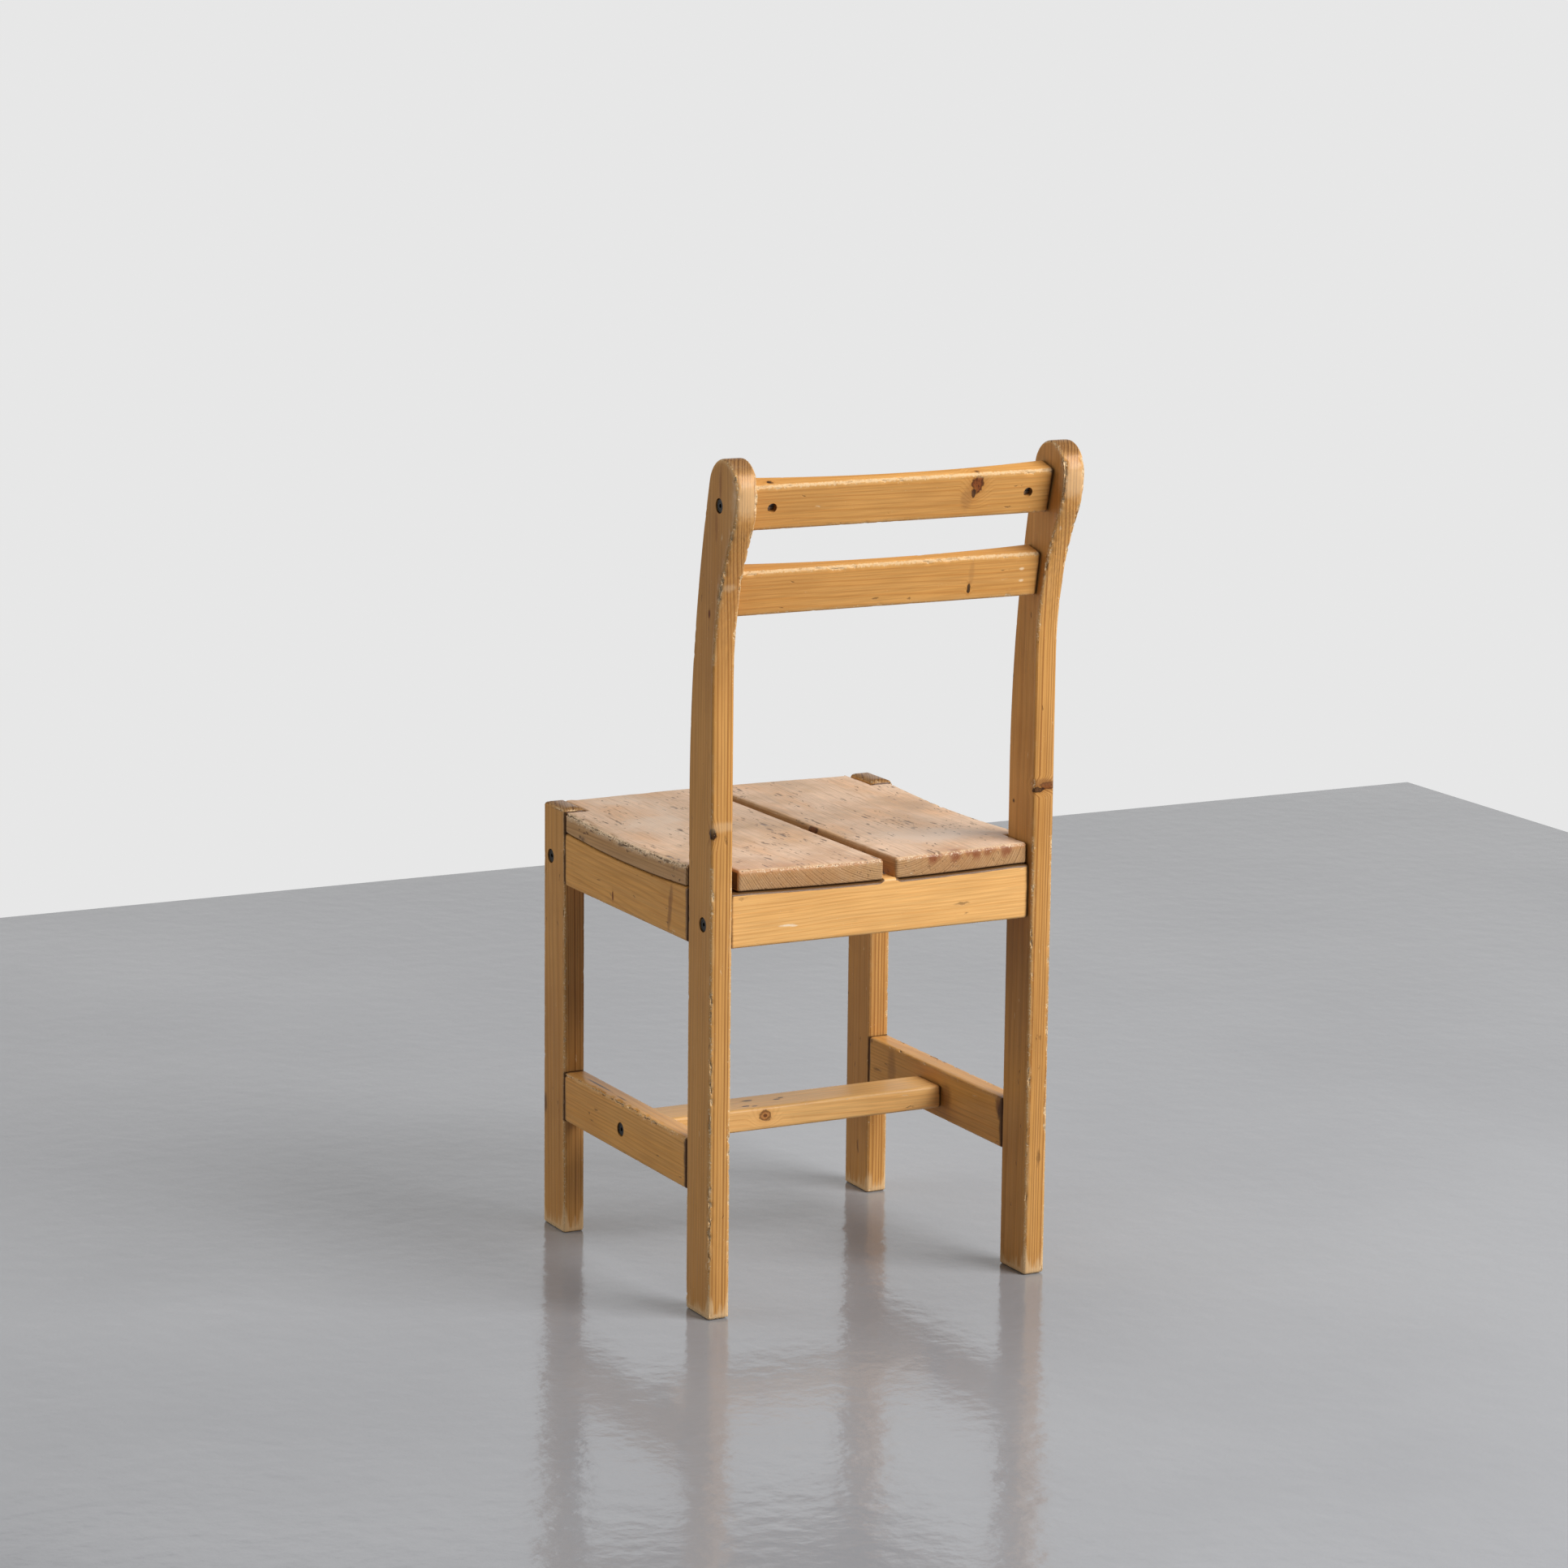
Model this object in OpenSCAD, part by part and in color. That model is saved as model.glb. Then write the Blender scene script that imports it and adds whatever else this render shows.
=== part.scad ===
// Pine dining chair. Two side frames, glued up with dowels, are joined by four cross pieces
// that are held by connector bolts and barrel nuts. Two boards make the dished seat.
// The sitter faces -Y, the sitter's left is +X, and the feet stand on z = 0.
// The origin is on the floor, under the middle of the whole chair's box.

/* [Overall] */
// Width over the outer faces of the two side frames
overall_width = 386; // [330:1:470]
// Depth at the floor, from the front legs' front faces to the rear legs' rear faces
floor_depth = 392; // [340:1:475]
// Height to the top of the rear legs' rounded heads
overall_height = 864; // [720:1:1040]
// Height of the seat's flat front and rear margins
seat_height = 453; // [377:1:545]

/* [Timber] */
// Thickness of the planed timber of the legs, rails and stretchers
stock_thickness = 24; // [20:0.5:30]
// Depth of each leg from front to back
leg_depth = 51.5; // [42:0.5:62]
// Height of the four seat rails
rail_height = 55.5; // [46:0.5:70]
// Distance from the legs' outer end faces in to the front and rear rails
rail_inset = 6; // [0:0.5:12]
// Depth of the shallow hollow along the tops of the front and rear rails
rail_hollow = 2.5; // [1:0.1:5]
// Flat landing at each end of the front and rear rails, where the seat rests
rail_landing = 19; // [8:1:40]

/* [Stretchers] */
// Height of the two side stretchers
side_stretcher_height = 52.5; // [42:0.5:64]
// Clearance between the floor and the side stretchers
side_stretcher_lift = 122.5; // [60:0.5:200]
// Width of the flat-laid cross stretcher
cross_stretcher_width = 49; // [40:0.5:60]
// Distance of the cross stretcher in front of the middle between the legs
cross_stretcher_forward = 7; // [0:0.5:30]
// Height of the cross stretcher's bolts above the floor
cross_stretcher_axis = 147; // [140:0.5:156]

/* [Seat] */
// Thickness of the seat boards
seat_thickness = 22.5; // [18:0.5:28]
// Depth of the dip across the middle of the seat
seat_dip = 4.5; // [2:0.5:8]
// Reach of the seat's front edge past the front legs, at the middle
seat_overhang = 13; // [9:0.5:30]
// How much less the front edge reaches at the legs than at the middle
seat_front_bow = 8; // [2:0.5:8]
// Distance of the seat's rear edge inside the rear rail's rear face
seat_rear_inset = 2; // [0:0.5:10]
// Width of the gap between the two boards
board_gap = 13; // [6:0.5:30]
// Distance of the gap's rear end from the middle of the chair, towards the right
board_gap_offset = 10; // [0:0.5:30]
// Distance by which the gap's front end lies further to the left than its rear end
board_gap_skew = 13; // [0:0.5:20]
// Gap between the boards and the legs that they are notched round
notch_gap = 1.5; // [0.5:0.5:5]
// Wider gap where the left board has been cut short of the rear leg
left_rear_gap = 9.5; // [1.5:0.5:15]
// Height of the front legs' tops above the seat
leg_proud = 3; // [1:0.5:8]

/* [Back] */
// Radius of the rear legs' long front curve
back_radius = 1290; // [1000:10:2000]
// Height above the seat at which that curve begins
back_curve_rise = 72; // [20:1:120]
// Radius of the rounded head of each rear leg
head_radius = 30.6; // [29:0.1:36]
// Radius of the flatter curve behind the head
head_blend_radius = 88; // [60:1:120]
// Radius of the hollow behind the leg, below the head
flare_radius = 320; // [200:5:500]
// Height of the crest rail
crest_height = 47; // [36:0.5:56]
// Thickness of the crest rail at its ends
crest_thickness = 25.5; // [22:0.5:30]
// Lean of the crest rail from upright, in degrees
crest_tilt = 15.5; // [8:0.5:20]
// Distance of the crest rail's axis below the middle of the head
crest_drop = 15.5; // [10:0.5:25]
// Distance of the crest rail's axis in front of the middle of the head
crest_forward = 6.5; // [0:0.5:12]
// Height of the back slat
slat_height = 46; // [36:0.5:60]
// Thickness of the back slat at its ends
slat_thickness = 27; // [22:0.5:30]
// Lean of the back slat from upright, in degrees
slat_tilt = 11; // [6:0.5:16]
// Height of the back slat's middle above the seat
slat_rise = 278; // [200:1:320]
// Depth of the hollow in the front face of the crest rail and the back slat
back_hollow = 11; // [4:0.5:14]

/* [Fasteners] */
// Diameter of a connector bolt's shank
bolt_diameter = 6; // [5:0.5:8]
// Diameter of a connector bolt's flat head
bolt_head_diameter = 14; // [12:0.5:16]
// Thickness of a connector bolt's head
bolt_head_thickness = 3.5; // [2.5:0.5:5]
// Depth of the recess that a bolt's head sits in
bolt_recess_depth = 4.5; // [4:0.5:8]
// Width across the flats of the hexagon socket
hex_socket = 4; // [3:0.5:6]
// Diameter of a barrel nut
nut_diameter = 9.8; // [9:0.1:12]
// Length of a barrel nut
nut_length = 14; // [12:0.5:16]
// Distance of a barrel nut's axis from the end of its rail
nut_setback = 27; // [20:0.5:40]
// Diameter of the wooden dowels
dowel_diameter = 8; // [6:0.5:10]
// Length of the dowels in the side frames
frame_dowel_length = 40; // [30:1:44]
// Length of the dowels between the side frames and the cross pieces
cross_dowel_length = 32; // [26:1:36]
// Diameter of a seat screw's shank
screw_diameter = 4; // [3:0.5:5]
// Length of a seat screw under its head
screw_length = 40; // [30:1:50]
// Depth that a seat screw reaches into the board
screw_grip = 14; // [10:0.5:16]
// Distance of each seat screw from the middle of its board
screw_spread = 32; // [20:1:34]

/* [Hidden] */
$fn = 64;

pine = [0.80, 0.58, 0.33];
pine_shaded = [0.62, 0.43, 0.24];
pine_pale = [0.84, 0.64, 0.40];
seat_pine = [0.78, 0.63, 0.49];
dowel_beech = [0.86, 0.72, 0.52];
blackened_steel = [0.13, 0.12, 0.12];
plain_steel = [0.60, 0.60, 0.60];

// Clearances and small sizes
through_cut = 1;            // how far a cut runs past the face it leaves by
bolt_clearance = 0.25;      // radial, round the shank in the wood
recess_clearance = 0.5;     // radial, round a bolt's head
nut_clearance = 0.1;        // radial, round a barrel nut
screw_clearance = 0.25;     // radial, round a screw in its rail
screw_head_clearance = 0.5; // radial, round a screw's head
hole_bottom_gap = 1;        // past the end of a dowel, bolt or screw
bolt_past_nut = 1.5;        // bolt standing out of the far side of its nut
socket_depth = 2.5;         // hexagon socket in a bolt's head
nut_slot_width = 1.6;       // slot that lines the nut up
nut_slot_depth = 1.2;
screw_head_diameter = 8;
screw_head_thickness = 2.4;
dowel_edge_margin = 14;     // side-frame dowels in from a rail's edges
cross_dowel_offset = 16;    // cross-piece dowel from its bolt
slat_dowel_offset = 12;     // slat dowels from the slat's middle
hollow_margin = 3;          // flat left at each end of a hollowed back rail
curve_steps = 14;           // chords along each round stretch of a leg
long_arc_steps = 1440;      // facets of a whole circle where its radius is very large

// Side frames, across the chair
outer_x = overall_width / 2;
inner_x = outer_x - stock_thickness;

// Heights of the seat and its rails
underside = seat_height - seat_thickness;
rail_bottom = underside - rail_height;
rail_axis = rail_bottom + rail_height * 0.45;
front_leg_top = seat_height + leg_proud;
curve_start = seat_height + back_curve_rise;
head_z = overall_height - head_radius;

// Distance from a rear leg's front face to the middle of its head, where the head's circle
// touches the inside of the long front curve
head_from_front = back_radius
    - sqrt(pow(back_radius - head_radius, 2) - pow(head_z - curve_start, 2));
back_overhang = head_from_front + head_radius - leg_depth;

// Places along the chair
total_depth = seat_overhang + floor_depth + back_overhang;
front_face = seat_overhang - total_depth / 2;
rear_face = front_face + floor_depth;
legs_middle = (front_face + rear_face) / 2;
front_leg_back = front_face + leg_depth;
rear_leg_front = rear_face - leg_depth;
front_rail_y = front_face + rail_inset + stock_thickness / 2;
rear_rail_y = rear_face - rail_inset - stock_thickness / 2;
half_span = (rear_leg_front - front_leg_back) / 2;
seat_front = front_face - seat_overhang;
seat_rear = rear_face - rail_inset - seat_rear_inset;

// Arc centres of a rear leg's outline, as [y, z]
head_centre = [rear_leg_front + head_from_front, head_z];
front_centre = [rear_leg_front + back_radius, curve_start];
blend_centre = [head_centre[0] - head_blend_radius + head_radius, head_z];
flare_y = rear_face + flare_radius;
flare_centre = [
    flare_y,
    head_z - sqrt(pow(flare_radius + head_blend_radius, 2) - pow(flare_y - blend_centre[0], 2))
];

// Axes of the cross pieces, as [y, z]
crest_axis = head_centre - [crest_forward, crest_drop];
slat_z = seat_height + slat_rise;
slat_axis = [(front_edge(slat_z) + rear_edge(slat_z)) / 2, slat_z];
front_rail_axis = [front_rail_y, rail_axis];
rear_rail_axis = [rear_rail_y, rail_axis];
stretcher_axis = [legs_middle - cross_stretcher_forward, cross_stretcher_axis];

// Seat boards: the rear ends of the edges beside the gap, and the middle of each board there
left_board_edge = board_gap / 2 - board_gap_offset;
right_board_edge = -board_gap / 2 - board_gap_offset;
left_board_middle = (left_board_edge + inner_x) / 2;
right_board_middle = (right_board_edge - inner_x) / 2;
left_screws = [left_board_middle - screw_spread, left_board_middle + screw_spread];
right_screws = [right_board_middle - screw_spread, right_board_middle + screw_spread];
screw_places = concat(left_screws, right_screws);
screw_head_z = underside + screw_grip - screw_length;

// Bolts: the head's seat, the shank's length and the bore past the nut
head_seat_x = outer_x - bolt_recess_depth;
nut_x = inner_x - nut_setback;
bolt_length = head_seat_x - nut_x + nut_diameter / 2 + bolt_past_nut;
nut_hole_diameter = nut_diameter + 2 * nut_clearance;

// Radius of an arc from its half chord and its rise
function arc_radius(half_chord, rise) = (pow(half_chord, 2) + pow(rise, 2)) / (2 * rise);

// Points of an arc, between two angles
function arc_points(centre, radius, from, to) = [
    for (i = [0 : curve_steps])
        let (a = from + (to - from) * i / curve_steps)
            centre + radius * [cos(a), sin(a)]
];

// Direction of one point from another, in degrees
function bearing(from, to) = atan2(to[1] - from[1], to[0] - from[0]);

// Front and rear edges of a rear leg at a height below its head
function front_edge(z) = z < curve_start ? rear_leg_front
    : front_centre[0] - sqrt(pow(back_radius, 2) - pow(z - curve_start, 2));
function rear_edge(z) = z < flare_centre[1] ? rear_face
    : flare_y - sqrt(pow(flare_radius, 2) - pow(z - flare_centre[1], 2));

// Side outline of a rear leg, as [y, z]: up the front, round the head and down the back
head_touch = bearing(front_centre, head_centre);
blend_touch = bearing(blend_centre, flare_centre);
rear_leg_outline = concat(
    [[rear_face, 0], [rear_leg_front, 0]],
    arc_points(front_centre, back_radius, 180, head_touch),
    arc_points(head_centre, head_radius, head_touch, 90),
    arc_points(head_centre, head_radius, 90, 0),
    arc_points(blend_centre, head_blend_radius, 0, blend_touch),
    arc_points(flare_centre, flare_radius, blend_touch + 180, 180)
);

// Both sides of the chair: the left as drawn, and the right as its mirror image
module on_side(side) {
    mirror([side < 0 ? 1 : 0, 0, 0])
        children();
}

// A side outline drawn as [y, z], pulled out along X between two places
module extrude_across(from, to) {
    translate([from, 0, 0])
        rotate([90, 0, 90])
            linear_extrude(height = to - from)
                children();
}

// A box between two corners
module block(low, high) {
    translate(low)
        cube(high - low);
}

// A round bar or bore along X, between two places on an axis given as [y, z]
module bar_across(axis, from, to, diameter) {
    translate([from, axis[0], axis[1]])
        rotate([0, 90, 0])
            cylinder(h = to - from, d = diameter);
}

// A round bar or bore along Y
module bar_along(x, z, from, to, diameter) {
    translate([x, from, z])
        rotate([-90, 0, 0])
            cylinder(h = to - from, d = diameter);
}

// A cut with a very large radius along Y, whose lowest line is at a given height
module long_hollow(bottom, from, to, radius) {
    translate([0, from, bottom + radius])
        rotate([-90, 0, 0])
            cylinder(h = to - from, r = radius, $fn = long_arc_steps);
}

// A round bar or bore along Z
module bar_up(x, y, from, to, diameter) {
    translate([x, y, from])
        cylinder(h = to - from, d = diameter);
}

// Recess and clearance hole for a connector bolt through the left side frame
module bolt_hole(axis) {
    bar_across(axis, head_seat_x, outer_x + through_cut, bolt_head_diameter + 2 * recess_clearance);
    bar_across(axis, inner_x - through_cut, head_seat_x + through_cut,
        bolt_diameter + 2 * bolt_clearance);
}

// Bore for a connector bolt in the left end of a cross piece
module bolt_bore(axis) {
    bar_across(axis, head_seat_x - bolt_length - hole_bottom_gap, inner_x + through_cut,
        bolt_diameter + 2 * bolt_clearance);
}

// Cross dowels: their place beside a bolt, before a lean in degrees
function beside(axis, distance, tilt) = axis + distance * [sin(tilt), cos(tilt)];
rear_rail_dowel = beside(rear_rail_axis, cross_dowel_offset, 0);
front_rail_dowel = beside(front_rail_axis, cross_dowel_offset, 0);
crest_dowel = beside(crest_axis, -cross_dowel_offset, crest_tilt);
stretcher_dowel = stretcher_axis + [cross_dowel_offset, 0];
cross_dowel_axes = [front_rail_dowel, rear_rail_dowel, crest_dowel, stretcher_dowel];
slat_dowel_axes = [
    beside(slat_axis, slat_dowel_offset, slat_tilt),
    beside(slat_axis, -slat_dowel_offset, slat_tilt)
];
bolt_axes = [front_rail_axis, rear_rail_axis, stretcher_axis, crest_axis];

// Dowel holes of the left end of a cross piece, cut in the frame and in the piece alike
module cross_dowel_hole(axis) {
    bar_across(axis,
        inner_x - cross_dowel_length / 2 - hole_bottom_gap,
        inner_x + cross_dowel_length / 2 + hole_bottom_gap,
        dowel_diameter);
}

// Side-frame dowels: their heights, and the four joints that they cross
side_rail_dowel_heights = [rail_bottom + dowel_edge_margin, underside - dowel_edge_margin];
side_stretcher_dowel_heights = [
    side_stretcher_lift + dowel_edge_margin,
    side_stretcher_lift + side_stretcher_height - dowel_edge_margin
];
frame_dowel_heights = concat(side_rail_dowel_heights, side_stretcher_dowel_heights);
frame_joints = [front_leg_back, rear_leg_front];
frame_x = (inner_x + outer_x) / 2;

module frame_dowel_holes() {
    reach = frame_dowel_length / 2 + hole_bottom_gap;
    for (y = frame_joints)
        for (z = frame_dowel_heights)
            bar_along(frame_x, z, y - reach, y + reach, dowel_diameter);
}

module front_leg() {
    difference() {
        block([inner_x, front_face, 0], [outer_x, front_leg_back, front_leg_top]);
        bolt_hole(front_rail_axis);
        cross_dowel_hole(front_rail_dowel);
        frame_dowel_holes();
    }
}

module rear_leg() {
    difference() {
        extrude_across(inner_x, outer_x)
            polygon(rear_leg_outline);
        bolt_hole(rear_rail_axis);
        bolt_hole(crest_axis);
        cross_dowel_hole(rear_rail_dowel);
        cross_dowel_hole(crest_dowel);
        for (axis = slat_dowel_axes)
            cross_dowel_hole(axis);
        frame_dowel_holes();
    }
}

// The long dip that the seat and the side rails share, below a given height
module dip_circle(height) {
    radius = arc_radius(half_span, seat_dip);
    translate([legs_middle, height - seat_dip + radius])
        circle(r = radius, $fn = long_arc_steps);
}

module side_rail() {
    difference() {
        extrude_across(inner_x, outer_x)
            difference() {
                translate([front_leg_back, rail_bottom])
                    square([2 * half_span, rail_height]);
                dip_circle(underside);
            }
        frame_dowel_holes();
    }
}

module side_stretcher() {
    difference() {
        block([inner_x, front_leg_back, side_stretcher_lift],
            [outer_x, rear_leg_front, side_stretcher_lift + side_stretcher_height]);
        bolt_hole(stretcher_axis);
        cross_dowel_hole(stretcher_dowel);
        frame_dowel_holes();
    }
}

// A front or rear rail: inward is the direction of its barrel nut holes along Y
module seat_rail(axis, dowel, inward) {
    y = axis[0];
    half = stock_thickness / 2;
    hollow_radius = arc_radius(inner_x - rail_landing, rail_hollow);
    difference() {
        block([-inner_x, y - half, rail_bottom], [inner_x, y + half, underside]);
        long_hollow(underside - rail_hollow, y - half - through_cut, y + half + through_cut,
            hollow_radius);
        for (side = [1, -1])
            on_side(side) {
                bolt_bore(axis);
                cross_dowel_hole(dowel);
                nut_hole(axis, inward > 0 ? -90 : 90, half);
            }
        for (x = screw_places) {
            bar_up(x, y, rail_bottom - through_cut, screw_head_z,
                screw_head_diameter + 2 * screw_head_clearance);
            bar_up(x, y, screw_head_z - through_cut, underside + through_cut,
                screw_diameter + 2 * screw_clearance);
        }
    }
}

// Blind hole for a barrel nut near the left end of a cross piece, turned about X from
// upright so that it opens on the face that is half_depth from the bolt's axis
module nut_hole(axis, turn, half_depth) {
    translate([nut_x, axis[0], axis[1]])
        rotate([turn, 0, 0])
            translate([0, 0, -nut_length / 2])
                cylinder(h = nut_length / 2 + half_depth + through_cut, d = nut_hole_diameter);
}

module front_rail() {
    seat_rail(front_rail_axis, front_rail_dowel, 1);
}

module rear_rail() {
    seat_rail(rear_rail_axis, rear_rail_dowel, -1);
}

module cross_stretcher() {
    half_width = cross_stretcher_width / 2;
    half = stock_thickness / 2;
    difference() {
        block([-inner_x, stretcher_axis[0] - half_width, stretcher_axis[1] - half],
            [inner_x, stretcher_axis[0] + half_width, stretcher_axis[1] + half]);
        for (side = [1, -1])
            on_side(side) {
                bolt_bore(stretcher_axis);
                cross_dowel_hole(stretcher_dowel);
                nut_hole(stretcher_axis, 180, half);
            }
    }
}

// A back rail with a hollowed front face, leaning back by tilt about its own middle
module hollowed_rail(axis, height, thickness, tilt) {
    hollow_half = inner_x - hollow_margin;
    hollow_radius = arc_radius(hollow_half, back_hollow);
    translate([0, axis[0], axis[1]])
        rotate([-tilt, 0, 0])
            difference() {
                translate([-inner_x, -thickness / 2, -height / 2])
                    cube([2 * inner_x, thickness, height]);
                translate([0, back_hollow - thickness / 2 - hollow_radius, -height])
                    cylinder(h = 2 * height, r = hollow_radius, $fn = long_arc_steps);
            }
}

module crest_rail() {
    difference() {
        hollowed_rail(crest_axis, crest_height, crest_thickness, crest_tilt);
        for (side = [1, -1])
            on_side(side) {
                bolt_bore(crest_axis);
                cross_dowel_hole(crest_dowel);
                nut_hole(crest_axis, -90 - crest_tilt, crest_thickness / 2);
            }
    }
}

module back_slat() {
    difference() {
        hollowed_rail(slat_axis, slat_height, slat_thickness, slat_tilt);
        for (side = [1, -1])
            on_side(side)
                for (axis = slat_dowel_axes)
                    cross_dowel_hole(axis);
    }
}

// Side section of the seat: flat margins with the dip between them, above and below
module seat_section() {
    length = seat_rear - seat_front;
    difference() {
        translate([seat_front, underside - seat_dip])
            square([length, seat_thickness + seat_dip]);
        dip_circle(seat_height);
        difference() {
            translate([seat_front - through_cut, underside - seat_dip - through_cut])
                square([length + 2 * through_cut, seat_dip + through_cut]);
            dip_circle(underside);
        }
    }
}

// Plan of a left board that runs out from inner_edge to the side, notched round both legs. Its
// inner edge lies front_shift further out at the front.
module board_plan(inner_edge, front_shift, rear_notch_gap) {
    front_notch_x = inner_x - notch_gap;
    rear_notch_x = inner_x - rear_notch_gap;
    strip_front = front_leg_back + notch_gap;
    strip_rear = rear_leg_front - notch_gap;
    polygon([
        [inner_edge + front_shift, seat_front],
        [front_notch_x, seat_front],
        [front_notch_x, strip_front],
        [outer_x, strip_front],
        [outer_x, strip_rear],
        [rear_notch_x, strip_rear],
        [rear_notch_x, seat_rear],
        [inner_edge, seat_rear]
    ]);
}

// A left board, with its bowed front edge and the pilot holes for its screws
module seat_board(inner_edge, front_shift, rear_notch_gap, screws) {
    bow_radius = arc_radius(inner_x, seat_front_bow);
    difference() {
        intersection() {
            extrude_across(inner_edge + min(0, front_shift) - through_cut, outer_x)
                seat_section();
            linear_extrude(height = seat_height + through_cut)
                intersection() {
                    board_plan(inner_edge, front_shift, rear_notch_gap);
                    translate([0, seat_front + bow_radius])
                        circle(r = bow_radius, $fn = long_arc_steps);
                }
        }
        for (x = screws)
            for (y = [front_rail_y, rear_rail_y])
                bar_up(x, y, underside - through_cut,
                    underside + screw_grip + hole_bottom_gap, screw_diameter);
    }
}

module left_board() {
    seat_board(left_board_edge, board_gap_skew, left_rear_gap, left_screws);
}

module right_board() {
    on_side(-1)
        seat_board(-right_board_edge, -board_gap_skew, notch_gap, -right_screws);
}

// A connector bolt on the left side: flat head with a hexagon socket, and a plain shank
module connector_bolt(axis) {
    socket_across_corners = hex_socket / cos(30);
    difference() {
        union() {
            bar_across(axis, head_seat_x, head_seat_x + bolt_head_thickness, bolt_head_diameter);
            bar_across(axis, head_seat_x - bolt_length, head_seat_x + bolt_head_thickness / 2,
                bolt_diameter);
        }
        translate([head_seat_x + bolt_head_thickness - socket_depth, axis[0], axis[1]])
            rotate([0, 90, 0])
                cylinder(h = socket_depth + through_cut, d = socket_across_corners, $fn = 6);
    }
}

// A barrel nut on the left side, turned about X, cross-bored for its bolt and slotted
module barrel_nut(axis, turn) {
    translate([nut_x, axis[0], axis[1]])
        rotate([turn, 0, 0])
            difference() {
                translate([0, 0, -nut_length / 2])
                    cylinder(h = nut_length, d = nut_diameter);
                translate([-nut_diameter, 0, 0])
                    rotate([0, 90, 0])
                        cylinder(h = 2 * nut_diameter, d = bolt_diameter);
                translate([-nut_diameter, -nut_slot_width / 2, nut_length / 2 - nut_slot_depth])
                    cube([2 * nut_diameter, nut_slot_width, nut_slot_depth + through_cut]);
            }
}

// A seat screw, driven up through a rail
module seat_screw(x, y) {
    bar_up(x, y, screw_head_z - screw_head_thickness, screw_head_z, screw_head_diameter);
    bar_up(x, y, screw_head_z - screw_head_thickness / 2, screw_head_z + screw_length,
        screw_diameter);
}

module connector_bolts() {
    for (side = [1, -1])
        on_side(side)
            for (axis = bolt_axes)
                connector_bolt(axis);
}

module barrel_nuts() {
    for (side = [1, -1])
        on_side(side) {
            barrel_nut(front_rail_axis, -90);
            barrel_nut(rear_rail_axis, 90);
            barrel_nut(stretcher_axis, 180);
            barrel_nut(crest_axis, -90 - crest_tilt);
        }
}

module seat_screws() {
    for (x = screw_places)
        for (y = [front_rail_y, rear_rail_y])
            seat_screw(x, y);
}

module frame_dowels() {
    reach = frame_dowel_length / 2;
    for (side = [1, -1])
        on_side(side)
            for (y = frame_joints)
                for (z = frame_dowel_heights)
                    bar_along(frame_x, z, y - reach, y + reach, dowel_diameter);
}

// Dowels across the joint between a side frame and a cross piece
module cross_dowel_set(axes) {
    reach = cross_dowel_length / 2;
    for (side = [1, -1])
        on_side(side)
            for (axis = axes)
                bar_across(axis, inner_x - reach, inner_x + reach, dowel_diameter);
}

color(pine_shaded) front_leg();  // front_leg_left
color(pine_shaded) on_side(-1) front_leg();  // front_leg_right
color(pine) rear_leg();  // rear_leg_left
color(pine) on_side(-1) rear_leg();  // rear_leg_right
color(pine_shaded) side_rail();  // side_rail_left
color(pine_shaded) on_side(-1) side_rail();  // side_rail_right
color(pine_shaded) side_stretcher();  // side_stretcher_left
color(pine_shaded) on_side(-1) side_stretcher();  // side_stretcher_right
color(pine) front_rail();
color(pine_pale) rear_rail();
color(pine_pale) cross_stretcher();
color(pine) crest_rail();
color(pine) back_slat();
color(seat_pine) left_board();  // seat_board_left
color(seat_pine) right_board();  // seat_board_right
color(blackened_steel) connector_bolts();
color(plain_steel) barrel_nuts();
color(plain_steel) seat_screws();
color(dowel_beech) frame_dowels();
color(dowel_beech) cross_dowel_set(cross_dowel_axes);  // cross_dowels
color(dowel_beech) cross_dowel_set(slat_dowel_axes);  // slat_dowels
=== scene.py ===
"""The looks of a worn, varnished pine chair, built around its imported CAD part.

Lengths are in metres, in the part's own frame: +Z is up, the sitter faces -Y, and +X is the
sitter's left. Every place and size comes from the CAD nodes' boxes and from the few radii, tilts
and depths that the classes below hold.
"""

import logging
import math
from collections.abc import Callable, Iterable, Iterator, Sequence
from contextlib import contextmanager
from dataclasses import dataclass, field, replace
from enum import Enum

import bmesh
import bpy
from mathutils import Matrix, Vector, kdtree, noise


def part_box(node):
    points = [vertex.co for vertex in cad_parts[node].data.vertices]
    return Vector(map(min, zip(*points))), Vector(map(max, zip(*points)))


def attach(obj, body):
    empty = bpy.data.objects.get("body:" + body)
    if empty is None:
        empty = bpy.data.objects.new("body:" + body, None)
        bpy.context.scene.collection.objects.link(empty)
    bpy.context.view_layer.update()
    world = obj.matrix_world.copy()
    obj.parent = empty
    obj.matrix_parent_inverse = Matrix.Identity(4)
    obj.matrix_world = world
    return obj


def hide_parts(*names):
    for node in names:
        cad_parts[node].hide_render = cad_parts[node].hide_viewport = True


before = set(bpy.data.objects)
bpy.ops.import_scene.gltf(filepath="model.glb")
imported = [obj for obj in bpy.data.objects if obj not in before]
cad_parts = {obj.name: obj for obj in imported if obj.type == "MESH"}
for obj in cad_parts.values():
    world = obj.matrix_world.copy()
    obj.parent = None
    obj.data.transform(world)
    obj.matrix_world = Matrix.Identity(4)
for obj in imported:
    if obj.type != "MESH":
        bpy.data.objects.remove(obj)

log = logging.getLogger("pine_chair")

MM = 0.001
SHARP = math.radians(30)
FLAT = 0.999
SEED_STEP = Vector((3.7, 1.9, 5.3))
Place = tuple[float, float, float]
Tone = tuple[float, float, float]
Part = bmesh.types.BMEdge | bmesh.types.BMFace
Measure = Callable[[Vector], float]


class Axis(Enum):
    """The three directions of the part's frame."""

    X = 0
    Y = 1
    Z = 2

    def unit(self) -> Vector:
        """The direction as a vector one metre long."""
        return Vector([1.0 if number == self.value else 0.0 for number in range(3)])


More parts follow.
